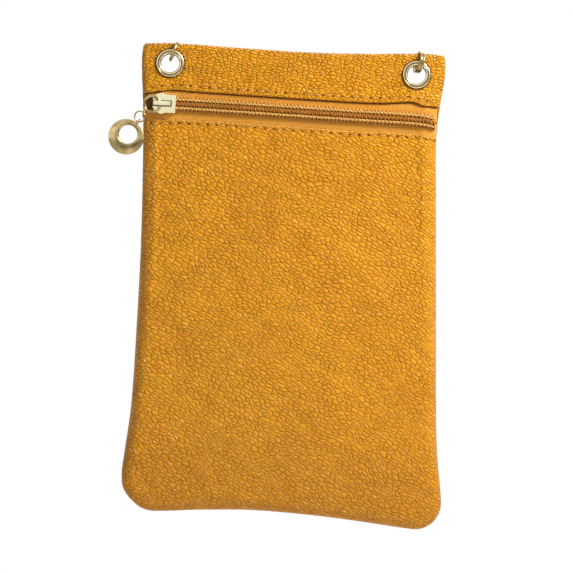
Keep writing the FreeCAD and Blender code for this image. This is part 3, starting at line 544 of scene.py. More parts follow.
def tape_place(low, high, side):
    """Places for a tape between two lines along the zip."""
    def place(s, t):
        x = TAPE_LEFT + (TAPE_RIGHT - TAPE_LEFT) * s
        parted = TAPE_PARTING * side * ease(-46.0, -55.0, x)
        inner = low + parted if side > 0 else high + parted
        across = high + (inner - high) * t if side > 0 else inner + (low - inner) * t
        back = TAPE_BEND * max(abs(across) - TAPE_BEND_START, 0) if side > 0 else 0.0
        pucker = TAPE_PUCKER * math.sin(x * 1.7 + side) * ease(1.5, 4.5, abs(across))
        lift = TAPE_FRONT - TAPE_END_DEPTH - back + pucker - zip_sink(x)
        end_roll = quarter_round(min(x - TAPE_LEFT, TAPE_RIGHT - x), TAPE_END_ROLL)
        return x, TAPE_END_DEPTH + lift * end_roll, zip_height(x, across)
    return place


def tape_seam(x, z):
    """Distance below the band's edge, where the tape goes into its shadow."""
    return band_bottom(x) - z


tape_upper = grid_sheet("tape_upper", 130, 14, tape_place(0.5, 7.9, 1), tape_seam)
tape_lower = grid_sheet("tape_lower", 130, 14, tape_place(-10.4, -0.5, -1), tape_seam)
for tape in (tape_upper, tape_lower):
    thicken(tape, TAPE)
print("tapes:", len(tape_upper.data.polygons) + len(tape_lower.data.polygons), "faces")

# %% [markdown]
# ## The coil
# A coil zip is a nylon filament wound into loops, sewn to the tape by a twisted thread that lies over the
# loops' outer ends. One loop is modelled from a bevelled bar with a swollen head, and copied along each
# side, half a step apart so that the heads mesh.

# %% Coil
COIL_PITCH = 1.45
COIL_TURNS = 71
COIL_START = -48.2
LAST_LOOP = 55.0
LAST_THREAD = 53.8
LOOP_WIDTH = 0.66
LOOP_DEPTH = 1.9
LOOP_LENGTH = 3.5
LOOP_FRONT = 4.2
LOOP_FOLLOW = 0.2
HEAD_SWELL = 1.06
THREAD_SIZE = (1.55, 0.6, 0.72)
THREAD_SLANT = math.radians(22)
CORD_SIZE = (COIL_PITCH * 1.02, 0.8, 1.3)
COIL_SHARP = math.radians(65)


def bevelled_bar(size, bevel, name):
    """A bar with softened edges, in mm, as the start of a small piece."""
    bpy.ops.object.select_all(action="DESELECT")
    bpy.ops.mesh.primitive_cube_add(size=1)
    bar = bpy.context.object
    bar.name = name
    bar.scale = Vector(size) * MM
    bpy.ops.object.transform_apply(location=False, rotation=False, scale=True)
    apply_modifier(bar, "BEVEL", width=bevel * MM, segments=1, limit_method="NONE")
    return bar


def join(pieces, name):
    """Joins objects into one and names it."""
    select_only(pieces[0])
    for piece in pieces:
        piece.select_set(True)
    bpy.ops.object.join()
    joined = bpy.context.object
    joined.name = name
    return joined


def copy_along(model, places):
    """Copies of a small piece, one for each place given as a matrix."""
    copies = []
    for place in places:
        copy = model.copy()
        copy.data = model.data.copy()
        copy.data.transform(place)
        bpy.context.scene.collection.objects.link(copy)
        copies.append(copy)
    return copies


def coil_place(x, across, depth, follow=1.0):
    """A matrix that puts a small piece at a place along the zip, in mm, and turns it to follow the zip."""
    fall = zip_height(x + 0.5) - zip_height(x - 0.5)
    spin = Matrix.Rotation(-math.atan(fall) * follow, 4, "Y")
    place = Vector((x, -(depth - zip_sink(x)), zip_height(x, across))) * MM
    return Matrix.Translation(place) @ spin


def coil_side(name, side):
    """One side of the zip's coil with its filler cord and its sewing thread."""
    first = COIL_START + (COIL_PITCH / 2 if side < 0 else 0) + LOOP_WIDTH / 2
    steps = [first + i * COIL_PITCH for i in range(COIL_TURNS)]
    steps = [x for x in steps if x < LAST_LOOP]
    loop = bevelled_bar((LOOP_WIDTH, LOOP_DEPTH, LOOP_LENGTH), 0.24, "loop")
    outer_end = loop.data.attributes.new("outer_end", "FLOAT", "POINT")
    for vertex in loop.data.vertices:
        if vertex.co.z * side < -1.1 * MM:
            vertex.co.x *= HEAD_SWELL
        if vertex.co.z * side > 1.0 * MM:
            vertex.co.y += 0.25 * MM
            outer_end.data[vertex.index].value = 1.0 if side < 0 else -1.0
    loop_places = [coil_place(x, 1.05 * side, LOOP_FRONT - LOOP_DEPTH / 2, LOOP_FOLLOW) for x in steps]
    loops = copy_along(loop, loop_places)
    thread = bevelled_bar(THREAD_SIZE, 0.22, "thread")
    thread.data.transform(Matrix.Rotation(THREAD_SLANT, 4, "Y"))
    thread_steps = [x + COIL_PITCH / 2 for x in steps if x < LAST_THREAD]
    threads = copy_along(thread, [coil_place(x, 1.6 * side, LOOP_FRONT + 0.05) for x in thread_steps])
    cord = bevelled_bar(CORD_SIZE, 0.2, "cord")
    cords = copy_along(cord, [coil_place(x, 1.75 * side, LOOP_FRONT - 1.2) for x in steps])
    for source in (loop, thread, cord):
        bpy.data.objects.remove(source)
    return join(loops, name), join(threads + cords, name + "_thread")


coil_upper, coil_thread_upper = coil_side("coil_upper", 1)
coil_lower, coil_thread_lower = coil_side("coil_lower", -1)
for piece in (coil_upper, coil_lower, coil_thread_upper, coil_thread_lower):
    select_only(piece)
    bpy.ops.object.shade_smooth_by_angle(angle=COIL_SHARP)
print("coil:", len(coil_upper.data.polygons), "faces on each side")

# %% [markdown]
# ## Stitches
# The seams beside the zip are lock stitches: short bars of thread that dive into a needle hole at both
# ends. A bar is bent down at its ends, so each stitch looks pulled into the leather.

# %% Stitches
STITCH_PITCH = 3.6
STITCH_LENGTH = 2.7
STITCH_DIVE = 0.45
STITCH_SHARP = math.radians(60)
STITCH_START = -51.4
STITCH_COUNT = 29


def stitch_bar():
    """One stitch, with its ends bent in."""
    bar = bevelled_bar((STITCH_LENGTH, 0.5, 0.55), 0.16, "stitch")
    select_only(bar)
    bpy.ops.object.mode_set(mode="EDIT")
    bpy.ops.mesh.select_all(action="SELECT")
    bpy.ops.mesh.subdivide(number_cuts=2)
    bpy.ops.object.mode_set(mode="OBJECT")
    for vertex in bar.data.vertices:
        vertex.co.y += STITCH_DIVE * MM * (vertex.co.x / (STITCH_LENGTH / 2 * MM)) ** 4
    return bar


def stitch_row(name, place_on):
    """A row of stitches, each put on the leather by place_on(x)."""
    bar = stitch_bar()
    places = [place_on(STITCH_START + i * STITCH_PITCH) for i in range(STITCH_COUNT)]
    row = join(copy_along(bar, places), name)
    bpy.data.objects.remove(bar)
    bpy.ops.object.shade_smooth_by_angle(angle=STITCH_SHARP)
    return row


def leather_depth(piece, x, z):
    """Depth of a leather piece's outside at a place, found by looking at it from the front."""
    start = Vector((x * MM, -0.05, z * MM))
    place = piece.ray_cast(start, Vector((0, 1, 0)))[1]
    return -place.y / MM


def on_leather(piece, line):
    """Places for stitches on a piece of leather, along a line of heights."""
    def place(x):
        rise = line(x + 0.5) - line(x - 0.5)
        spin = Matrix.Rotation(-math.atan(rise), 4, "Y")
        z = line(x)
        depth = leather_depth(piece, x, z) + 0.05
        return Matrix.Translation(Vector((x, -depth, z)) * MM) @ spin
    return place


def band_stitch_line(x):
    """Height of the stitches on the band."""
    return band_bottom(x) + BAND_MARGIN


def front_stitch_line(x):
    """Height of the stitches on the front."""
    return front_top(x) - HEM_MARGIN


stitches_upper = stitch_row("stitches_upper", on_leather(leather_band, band_stitch_line))
stitches_lower = stitch_row("stitches_lower", on_leather(leather_front, front_stitch_line))
print("stitches:", 2 * STITCH_COUNT)

# %% [markdown]
# ## Material helpers
# Nodes are easier to read when a helper adds one and feeds its sockets, either with a number or from
# another node.

# %% Material helpers


def feed(tree, socket, value):
    """Links a socket to another, or sets its value."""
    if isinstance(value, bpy.types.NodeSocket):
        tree.links.new(value, socket)
    else:
        socket.default_value = value


def add(tree, kind, settings=None, **inputs):
    """Adds a node with settings and inputs, named with _ for spaces."""
    node = tree.nodes.new("ShaderNode" + kind)
    for key, value in (settings or {}).items():
        setattr(node, key, value)
    for key, value in inputs.items():
        feed(tree, node.inputs[key.replace("_", " ")], value)
    return node


def calc(tree, operation, *values):
    """A Math node on numbers or sockets."""
    node = add(tree, "Math", {"operation": operation})
    for i, value in enumerate(values):
        feed(tree, node.inputs[i], value)
    return node.outputs[0]


def span(tree, value, low, high, to_low=0.0, to_high=1.0):
    """A Map Range node with a soft change."""
    node = add(tree, "MapRange", {"interpolation_type": "SMOOTHSTEP"}, Value=value,
               From_Min=low, From_Max=high, To_Min=to_low, To_Max=to_high)
    return node.outputs[0]


def blend_colour(tree, factor, first, second):
    """A Mix node of two colours."""
    node = add(tree, "Mix", {"data_type": "RGBA"})
    feed(tree, node.inputs[0], factor)
    feed(tree, node.inputs[6], first)
    feed(tree, node.inputs[7], second)
    return node.outputs[2]


def new_group(name, inputs, outputs):
    """A shader node group with its sockets, and its inner input and output nodes."""
    tree = bpy.data.node_groups.new(name, "ShaderNodeTree")
    for title, kind in inputs:
        tree.interface.new_socket(title, in_out="INPUT", socket_type="NodeSocket" + kind)
    for title in outputs:
        tree.interface.new_socket(title, in_out="OUTPUT", socket_type="NodeSocketFloat")
    return tree, tree.nodes.new("NodeGroupInput").outputs, tree.nodes.new("NodeGroupOutput").inputs


def use_group(tree, group, **inputs):
    """Places a group in a material."""
    return add(tree, "Group", {"node_tree": group}, **inputs).outputs


def eyelet_distance(tree, across, height):
    """Distance from the axis of the nearer eyelet."""
    from_axis = calc(tree, "SUBTRACT", calc(tree, "ABSOLUTE", across), EYELET_X * MM)
    squares = calc(tree, "ADD", calc(tree, "POWER", from_axis, 2.0), calc(tree, "POWER", height, 2.0))
    return calc(tree, "SQRT", squares)


def add_bump(tree, shader, height, strength, distance):
    """Feeds a height to the shader's normal, with the relief's depth in mm."""
    bump = add(tree, "Bump", None, Height=height, Strength=strength, Distance=distance * MM)
    feed(tree, shader.inputs["Normal"], bump.outputs[0])


def new_material(name, metallic=0.0, specular=0.5):
    """A material with its tree, shader and object coordinates."""
    material = bpy.data.materials.new(name)
    material.use_nodes = True
    tree = material.node_tree
    shader = tree.nodes["Principled BSDF"]
    shader.inputs["Metallic"].default_value = metallic
    shader.inputs["Specular IOR Level"].default_value = specular
    place = tree.nodes.new("ShaderNodeTexCoord").outputs["Object"]
    return material, tree, shader, place


print("helpers ready")

# %% [markdown]
# ## Zip coordinates
# Weave, needle holes and coil colours all follow the zip, which is turned a little from the level. A group
# turns object coordinates into a distance along the zip and a distance across it.

# %% Zip coordinates group
zip_group, zip_in, zip_out = new_group("along the zip", [("Place", "Vector")], ["Along", "Across"])
shift = add(zip_group, "VectorMath", {"operation": "ADD"})
feed(zip_group, shift.inputs[0], zip_in["Place"])
shift.inputs[1].default_value = (0, 0, -ZIP_HEIGHT * MM)
for title, direction in (("Along", (math.cos(ZIP_SLOPE), 0, -math.sin(ZIP_SLOPE))),
                         ("Across", (math.sin(ZIP_SLOPE), 0, math.cos(ZIP_SLOPE)))):
    dot = add(zip_group, "VectorMath", {"operation": "DOT_PRODUCT"})
    feed(zip_group, dot.inputs[0], shift.outputs[0])
    dot.inputs[1].default_value = direction
    feed(zip_group, zip_out[title], dot.outputs["Value"])
print(zip_group.name)

# %% [markdown]
# ## Pebbled grain
# Pebbled leather is embossed with small cushions and narrow creases between them, and the creases are painted
# dark as shade in the leather's finish. A Voronoi pattern's distance to its cell edges gives both. The
# pattern is laid on the flat sheet before it is rolled, so the pebbles keep their size round the edges, and
# it is drawn out along slanting rows that wander a little, as in a hide.

# %% Pebble group
PEBBLE_SLANT = math.radians(-28)
PEBBLE_DRAWN_OUT = (1.80, 0.95, 1.0)
DOME_SHARE = 0.32
GROOVE_SHARE = 0.8
PORE_SHARE = 0.16


def wandering(tree, place, scale, reach):
    """Moves a place about by a noise."""
    shift = add(tree, "VectorMath", {"operation": "MULTIPLY_ADD"})
    drift = add(tree, "TexNoise", None, Vector=place, Scale=scale, Detail=2.0)
    feed(tree, shift.inputs[0], drift.outputs["Color"])
    shift.inputs[1].default_value = (reach, reach, 0)
    feed(tree, shift.inputs[2], place)
    return shift.outputs[0]


pebble_group, pebble_in, pebble_out = new_group(
    "pebbled grain", [("Place", "Vector"), ("Pebbles per metre", "Float")],
    ["Height", "Crease", "Tone", "Patch"])
rows_place = wandering(pebble_group, pebble_in["Place"], 22.0, 0.008)
pebble_place = add(pebble_group, "Mapping", {"vector_type": "TEXTURE"}, Vector=rows_place)
pebble_place.inputs["Rotation"].default_value = (0, 0, PEBBLE_SLANT)
pebble_place.inputs["Scale"].default_value = PEBBLE_DRAWN_OUT
uneven_place = wandering(pebble_group, pebble_place.outputs[0], 420.0, 0.0011)
cells, cell_tone = (
    add(pebble_group, "TexVoronoi", {"feature": feature, "voronoi_dimensions": "2D"}, Vector=uneven_place,
        Scale=pebble_in["Pebbles per metre"], Randomness=0.8)
    for feature in ("DISTANCE_TO_EDGE", "F1"))
pores = add(pebble_group, "TexNoise", None, Vector=pebble_in["Place"], Scale=2600.0, Detail=3.0)
patches = add(pebble_group, "TexNoise", None, Vector=pebble_in["Place"], Scale=38.0, Detail=3.0)
inner = span(pebble_group, cell_tone.outputs["Distance"], 0.0, 0.8, 1.0, 0.0)
dome = calc(pebble_group, "MULTIPLY", inner, DOME_SHARE)
flank = span(pebble_group, cells.outputs["Distance"], 0.0, 0.25)
groove = calc(pebble_group, "MULTIPLY", flank, GROOVE_SHARE)
rounded = calc(pebble_group, "ADD", dome, groove)
swell = add(pebble_group, "TexNoise", None, Vector=pebble_place.outputs[0], Scale=210.0, Detail=2.0)
depths = span(pebble_group, swell.outputs["Fac"], 0.3, 0.7, 0.6, 1.0)
fine = calc(pebble_group, "MULTIPLY", pores.outputs["Fac"], PORE_SHARE)
feed(pebble_group, pebble_out["Height"], calc(pebble_group, "MULTIPLY_ADD", rounded, depths, fine))
creases = span(pebble_group, cells.outputs["Distance"], 0.0, 0.14, 1.0, 0.0)
feed(pebble_group, pebble_out["Crease"], calc(pebble_group, "MULTIPLY", creases, depths))
split = add(pebble_group, "SeparateColor", None, Color=cell_tone.outputs["Color"])
feed(pebble_group, pebble_out["Tone"], split.outputs[0])
feed(pebble_group, pebble_out["Patch"], patches.outputs["Fac"])
print(pebble_group.name)

# %% [markdown]
# ## Leather finish
# The leather is painted lighter on the domes and darker in the creases, as shade, with a little change of dye
# from pebble to pebble and in broad patches. Four marks are painted light: shade in the needle holes along
# the seams, a pale highlight along the hem's turned edge, a shadow ring where each eyelet is pressed in, and
# a dark line of shade along the side seam. Towards the bottom the leather is painted darker, as shade.

# %% Leather material
LEATHER_LIGHT = (0.69, 0.290, 0.008, 1)
LEATHER_DARK = (0.58, 0.228, 0.005, 1)
# Painted light: crease and side seam shade, shade towards the bottom, the hem's highlight, needle hole shade
# and the shadow ring round each eyelet.
LEATHER_CREASE_SHADE = (0.34, 0.115, 0.003, 1)
LEATHER_LOW_SHADE = (0.42, 0.150, 0.004, 1)
HEM_PAINTED_HIGHLIGHT = (0.80, 0.44, 0.11, 1)
NEEDLE_HOLE_SHADE = (0.12, 0.040, 0.004, 1)
EYELET_PAINTED_SHADOW = (0.16, 0.055, 0.004, 1)
PEBBLES = 720.0
PEBBLE_RELIEF = 0.55
CREASE_SHADE_SHARE = 0.48
HOLE_SHADE_SHARE = 0.75
HOLE_DEPTH = 1.2

leather, tree, shader, place = new_material("pebbled leather", specular=0.22)
flat_place = add(tree, "Attribute", {"attribute_name": "flat_place"}).outputs["Vector"]
grain = use_group(tree, pebble_group, Place=flat_place, Pebbles_per_metre=PEBBLES)
seam = add(tree, "Attribute", {"attribute_name": "seam"}).outputs["Fac"]
seam_gap = calc(tree, "MULTIPLY", calc(tree, "SUBTRACT", seam, SEAM_ZERO), MM)
split = add(tree, "SeparateXYZ", None, Vector=place)
hole_start = (STITCH_START + STITCH_PITCH / 2) * MM
from_start = calc(tree, "SUBTRACT", split.outputs["X"], hole_start)
hole_gap = calc(tree, "PINGPONG", from_start, STITCH_PITCH / 2 * MM)
hole_far = calc(tree, "SQRT", calc(tree, "ADD", calc(tree, "POWER", seam_gap, 2.0),
                                   calc(tree, "POWER", calc(tree, "MULTIPLY", hole_gap, 0.6), 2.0)))
holes = span(tree, hole_far, 0.20 * MM, 0.48 * MM, 1.0, 0.0)
holes = calc(tree, "MULTIPLY", holes, span(tree, grain["Tone"], 0.0, 0.6, 0.55, 1.0))
# Painted highlight: a pale line along the hem's turned edge, below the zip.
hem_edge = calc(tree, "ABSOLUTE", calc(tree, "ADD", seam_gap, 1.25 * MM))
below_zip = span(tree, use_group(tree, zip_group, Place=place)["Across"], -1.0 * MM, 0.0, 1.0, 0.0)
hem_highlight = calc(tree, "MULTIPLY", span(tree, hem_edge, 0.1 * MM, 0.35 * MM, 0.8, 0.0), below_zip)
# Painted shadow: a dark ring in the leather round each eyelet's rim.
eyelet_far = eyelet_distance(tree, split.outputs["X"], split.outputs["Z"])
eyelet_shadow = span(tree, eyelet_far, 5.5 * MM, 6.1 * MM, 0.85, 0.0)
mottle = calc(tree, "ADD", calc(tree, "MULTIPLY", grain["Tone"], 0.4), grain["Patch"])
tone = span(tree, mottle, 0.35, 1.05)
colour = blend_colour(tree, tone, LEATHER_DARK, LEATHER_LIGHT)
# Painted shade: the creases between the pebbles are painted darker.
colour = blend_colour(tree, calc(tree, "MULTIPLY", grain["Crease"], CREASE_SHADE_SHARE), colour, LEATHER_CREASE_SHADE)
colour = blend_colour(tree, hem_highlight, colour, HEM_PAINTED_HIGHLIGHT)
# Painted shade: the needle holes are painted dark as well as dented.
colour = blend_colour(tree, calc(tree, "MULTIPLY", holes, HOLE_SHADE_SHARE), colour, NEEDLE_HOLE_SHADE)
colour = blend_colour(tree, eyelet_shadow, colour, EYELET_PAINTED_SHADOW)
# Painted shade: a dark line along the side seam, where front and back meet.
side_seam_shade = span(tree, calc(tree, "ABSOLUTE", split.outputs["Y"]), 0.08 * MM, 0.32 * MM, 0.8, 0.0)
colour = blend_colour(tree, side_seam_shade, colour, LEATHER_CREASE_SHADE)
# Painted shade: the leather is painted darker towards the bottom.
low_shade = span(tree, split.outputs["Z"], -172 * MM, -120 * MM, 0.45, 0.0)
colour = blend_colour(tree, low_shade, colour, LEATHER_LOW_SHADE)
feed(tree, shader.inputs["Base Color"], colour)
feed(tree, shader.inputs["Roughness"], span(tree, grain["Crease"], 0.0, 1.0, 0.25, 0.5))
height = calc(tree, "SUBTRACT", grain["Height"], calc(tree, "MULTIPLY", holes, HOLE_DEPTH))
add_bump(tree, shader, height, 1.0, PEBBLE_RELIEF)
print(leather.name)

# %% [markdown]
# ## Woven finishes
# Tape and lining are plain weaves. Two sets of soft ridges, one along the zip and one across it, taken in
# turns, look like threads going over and under.

# %% Weave group
weave_group, weave_in, weave_out = new_group(
    "woven threads", [("Along", "Float"), ("Across", "Float"), ("Warp", "Float"), ("Weft", "Float")],
    ["Height", "Shade"])
warp = calc(weave_group, "SINE", calc(weave_group, "MULTIPLY", weave_in["Along"], weave_in["Warp"]))
weft = calc(weave_group, "SINE", calc(weave_group, "MULTIPLY", weave_in["Across"], weave_in["Weft"]))
crossing = calc(weave_group, "MULTIPLY", warp, weft)
ridge = calc(weave_group, "MAXIMUM", calc(weave_group, "ABSOLUTE", warp),
             calc(weave_group, "ABSOLUTE", weft))
raised = calc(weave_group, "ADD", calc(weave_group, "MULTIPLY", crossing, 0.3), ridge)
feed(weave_group, weave_out["Height"], raised)
feed(weave_group, weave_out["Shade"], span(weave_group, raised, 0.1, 1.2))
print(weave_group.name)

# %% Tape and lining materials
TUCKED_SHADOW = (0.13, 0.040, 0.004, 1)
TAPE_LIGHT = (0.72, 0.32, 0.035, 1)
TAPE_DARK = (0.55, 0.22, 0.018, 1)
LINING_LIGHT = (0.24, 0.09, 0.022, 1)
LINING_DARK = (0.11, 0.036, 0.008, 1)


def woven_material(name, light, dark, warp_pitch, weft_pitch, roughness):
    """A woven cloth of two tones, with thread pitches in mm."""
    material, tree, shader, place = new_material(name, specular=0.25)
    zip_place = use_group(tree, zip_group, Place=place)
    threads = use_group(tree, weave_group, Along=zip_place["Along"], Across=zip_place["Across"],
                        Warp=math.pi / (warp_pitch * MM), Weft=math.pi / (weft_pitch * MM))
    fuzz = add(tree, "TexNoise", None, Vector=place, Scale=900.0, Detail=3.0)
    shade = calc(tree, "MULTIPLY", threads["Shade"], span(tree, fuzz.outputs["Fac"], 0.2, 0.8, 0.75, 1.0))
    seam = add(tree, "Attribute", {"attribute_name": "seam"}).outputs["Fac"]
    from_edge = calc(tree, "ABSOLUTE", calc(tree, "SUBTRACT", seam, SEAM_ZERO))
    tucked = span(tree, from_edge, 0.2, 0.75, 0.9, 0.0)
    cloth = blend_colour(tree, shade, dark, light)
    feed(tree, shader.inputs["Base Color"], blend_colour(tree, tucked, cloth, TUCKED_SHADOW))
    feed(tree, shader.inputs["Roughness"], span(tree, shade, 0.0, 1.0, roughness + 0.1, roughness))
    shader.inputs["Sheen Weight"].default_value = 0.15
    add_bump(tree, shader, threads["Height"], 0.6, 0.18)
    return material


tape_cloth = woven_material("zip tape", TAPE_LIGHT, TAPE_DARK, 0.72, 0.5, 0.7)
lining_cloth = woven_material("lining cloth", LINING_LIGHT, LINING_DARK, 0.5, 0.5, 0.8)
print(tape_cloth.name, lining_cloth.name)

# %% [markdown]
# ## Nylon and thread
# The coil is amber brown nylon with a soft gloss. The sewing thread is twisted, so fine slanted ridges run
# over it.

# %% Nylon and thread materials
AMBER_DARK = (0.24, 0.072, 0.005, 1)
AMBER_LIGHT = (0.50, 0.19, 0.022, 1)
END_IN_SHADE = (0.15, 0.042, 0.003, 1)
END_IN_LIGHT = (0.62, 0.27, 0.03, 1)
SEWING_LIGHT = (0.86, 0.50, 0.13, 1)
SEWING_DARK = (0.45, 0.18, 0.02, 1)
SEAM_LIGHT = (0.70, 0.32, 0.04, 1)
SEAM_DARK = (0.42, 0.16, 0.012, 1)

nylon, tree, shader, place = new_material("coil nylon", specular=0.22)
melt = add(tree, "TexNoise", None, Vector=place, Scale=420.0, Detail=2.0)
amber = blend_colour(tree, melt.outputs["Fac"], AMBER_DARK, AMBER_LIGHT)
outer_end = add(tree, "Attribute", {"attribute_name": "outer_end"}).outputs["Fac"]
amber = blend_colour(tree, calc(tree, "MULTIPLY", outer_end, 0.75), amber, END_IN_SHADE)
lit_end = calc(tree, "MULTIPLY", outer_end, -0.8)
feed(tree, shader.inputs["Base Color"], blend_colour(tree, lit_end, amber, END_IN_LIGHT))
feed(tree, shader.inputs["Roughness"], span(tree, melt.outputs["Fac"], 0.2, 0.8, 0.25, 0.42))
add_bump(tree, shader, melt.outputs["Fac"], 0.2, 0.1)


def thread_material(name, light, dark, twist):
    """A twisted thread: slanted ridges along the zip, twist in mm."""
    material, tree, shader, place = new_material(name, specular=0.35)
    zip_place = use_group(tree, zip_group, Place=place)
    slant = calc(tree, "ADD", zip_place["Along"], zip_place["Across"])
    ridges = calc(tree, "SINE", calc(tree, "MULTIPLY", slant, 2 * math.pi / (twist * MM)))
    shade = span(tree, ridges, -1.0, 0.8)
    feed(tree, shader.inputs["Base Color"], blend_colour(tree, shade, dark, light))
    feed(tree, shader.inputs["Roughness"], span(tree, shade, 0.0, 1.0, 0.65, 0.45))
    add_bump(tree, shader, ridges, 0.5, 0.08)
    return material


coil_sewing = thread_material("coil sewing thread", SEWING_LIGHT, SEWING_DARK, 0.5)
seam_thread = thread_material("seam thread", SEAM_LIGHT, SEAM_DARK, 0.45)
print(nylon.name, coil_sewing.name, seam_thread.name)

# %% [markdown]
# ## Gold plate
# The metal is cast and tumbled zinc with a pale gold plate: bright, with faint cloudy wear and hair
# scratches that change how sharp the reflections are. Thin dark rings on the eyelets and a dark line round
# the slider's bridge are painted shade.

# %% Gold material
# Painted shade: a dark colour for rings on the eyelets and a line round the slider's bridge.
GOLD_PAINTED_SHADE = (0.14, 0.085, 0.03, 1)
SLIDER_BRIGHT = (0.95, 0.90, 0.60, 1)
SLIDER_CLOUDED = (0.86, 0.78, 0.47, 1)
EYELET_BRIGHT = (0.80, 0.68, 0.40, 1)
EYELET_CLOUDED = (0.68, 0.55, 0.29, 1)
RING_BRIGHT = (0.56, 0.43, 0.20, 1)
RING_CLOUDED = (0.30, 0.21, 0.085, 1)
EYELET_SHADE_RINGS = ((5.35, 0.25), (4.45, 0.35), (3.5, 0.2))


def gold_material(name, bright, clouded, shade_rings=(), shade_box=None):
    """Pale gold plate, with painted shade about the eyelets in rings of (radius, half width) mm, or round a
    box.
    """
    material, tree, shader, place = new_material(name, metallic=1.0)
    cloud = add(tree, "TexNoise", None, Vector=place, Scale=260.0, Detail=4.0).outputs["Fac"]
    scratch_place = add(tree, "Mapping", None, Vector=place)
    scratch_place.inputs["Scale"].default_value = (1.0, 1.0, 9.0)
    scratch_place.inputs["Rotation"].default_value = (0.2, 0.5, 0.1)
    scratches = add(tree, "TexNoise", None, Vector=scratch_place.outputs[0], Scale=700.0, Detail=2.0)
    scratch = scratches.outputs["Fac"]
    colour = blend_colour(tree, span(tree, cloud, 0.3, 0.7), clouded, bright)
    split = add(tree, "SeparateXYZ", None, Vector=place).outputs
    marks = []
    if shade_rings:
        far = eyelet_distance(tree, split["X"], split["Z"])
        marks += [(far, radius * MM, half * MM) for radius, half in shade_rings]
    if shade_box:
        low, high = shade_box
        gaps = []
        for i, axis in ((0, "X"), (2, "Z")):
            off_middle = calc(tree, "ABSOLUTE", calc(tree, "SUBTRACT", split[axis], (low[i] + high[i]) / 2))
            gaps.append(calc(tree, "SUBTRACT", off_middle, (high[i] - low[i]) / 2))
        marks.append((calc(tree, "MAXIMUM", *gaps), 0.05 * MM, 0.35 * MM))
    # Painted shade: thin dark rings on the eyelets and a dark line round the slider's bridge.
    for distance, middle, half in marks:
        off = calc(tree, "ABSOLUTE", calc(tree, "SUBTRACT", distance, middle))
        painted_shade = calc(tree, "MULTIPLY", span(tree, off, half * 0.4, half, 0.9, 0.0),
                    span(tree, cloud, 0.2, 0.6, 0.7, 1.0))
        colour = blend_colour(tree, painted_shade, colour, GOLD_PAINTED_SHADE)
    feed(tree, shader.inputs["Base Color"], colour)
    wear = calc(tree, "MULTIPLY", cloud, scratch)
    feed(tree, shader.inputs["Roughness"], span(tree, wear, 0.1, 0.45, 0.16, 0.28))
    add_bump(tree, shader, scratch, 0.02, 0.1)
    return material


gold_slider = gold_material("pale gold slider", SLIDER_BRIGHT, SLIDER_CLOUDED,
                            shade_box=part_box("slider_bridge"))
gold_eyelet = gold_material("pale gold eyelet", EYELET_BRIGHT, EYELET_CLOUDED, shade_rings=EYELET_SHADE_RINGS)
gold_ring = gold_material("worn gold ring", RING_BRIGHT, RING_CLOUDED)
print(gold_slider.name, gold_eyelet.name, gold_ring.name)

# %% [markdown]
# ## Dressing the pieces
# Each soft piece gets its finish, stands for its CAD solid, which is hidden, and rides on the body that it is
# sewn to. The front panel is sewn to the pouch at its sides and to the zip's lower tape at its hem; it and
# its lining ride on no body and stay where they are made.

# %% Dress and ride


def dress(piece, material, node):
    """Gives a piece its finish and hides the CAD node that it stands for."""
    piece.data.materials.clear()
    piece.data.materials.append(material)
    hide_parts(node)


dress(leather_front, leather, "front_panel")
dress(leather_back, leather, "back_panel")
dress(leather_band, leather, "top_band")
dress(lining_front, lining_cloth, "lining_front")
dress(lining_back, lining_cloth, "lining_back")
dress(lining_band, lining_cloth, "lining_band")
dress(tape_upper, tape_cloth, "zipper_tape_upper")
dress(tape_lower, tape_cloth, "zipper_tape_lower")
dress(coil_upper, nylon, "zipper_coil_upper")
dress(coil_lower, nylon, "zipper_coil_lower")
dress(coil_thread_upper, coil_sewing, "coil_cord_upper")
dress(coil_thread_lower, coil_sewing, "coil_cord_lower")
dress(stitches_upper, seam_thread, "stitch_row_upper")
dress(stitches_lower, seam_thread, "stitch_row_lower")
for piece in (leather_back, leather_band, lining_back, lining_band, tape_upper, coil_upper, coil_thread_upper,
              stitches_upper):
    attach(piece, "pouch")
for piece in (tape_lower, coil_lower, coil_thread_lower, stitches_lower):
    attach(piece, "lower_lip")
for piece in (leather_front, lining_front):
    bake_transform(piece)

# %% [markdown]
# ## Sheets
# Leather, lining and tape are all cut flat before they are sewn.

print("sheets: 8")

# %% [markdown]
# ## Dressing the metal
# The metal pieces are rigid, so their CAD shapes stay and only get a finish.

# %% Metal finishes
metal_nodes = [name for name, body in nodes.items() if not body.hide_render]
gold_finishes = {"slider": gold_slider, "eyelet": gold_eyelet}
for name in metal_nodes:
    nodes[name].data.materials.clear()
    nodes[name].data.materials.append(gold_finishes.get(name.split("_")[0], gold_ring))
print("metal:", ", ".join(sorted(metal_nodes)))

# %% [markdown]
# ## Light and floor
# Soft light from the upper right models the pebbles, and a weaker fill keeps the left side open. The
# background is white for the camera and for reflections only, so it adds no light to the leather. Low down
# the room that the metal reflects is darker, as under a table, and that gives the rings their round look.
# The floor keeps the shadow near the pouch and fades to the white of the background further off.

# %% Light and floor
WORLD_LIGHT = 0.28
LOW_ROOM = 0.12
MIDDLE = (0, 0, -0.08)
FLOOR_HEIGHT = -0.25
FLOOR_SIZE = 8.0
FADE_START = 0.15
FADE_END = 0.60
NEAR_GLOW = 0.35
WHITE = (1, 1, 1, 1)
FLOOR_DARK = (0.86, 0.86, 0.86, 1)
FLOOR_LIGHT = (0.90, 0.90, 0.90, 1)


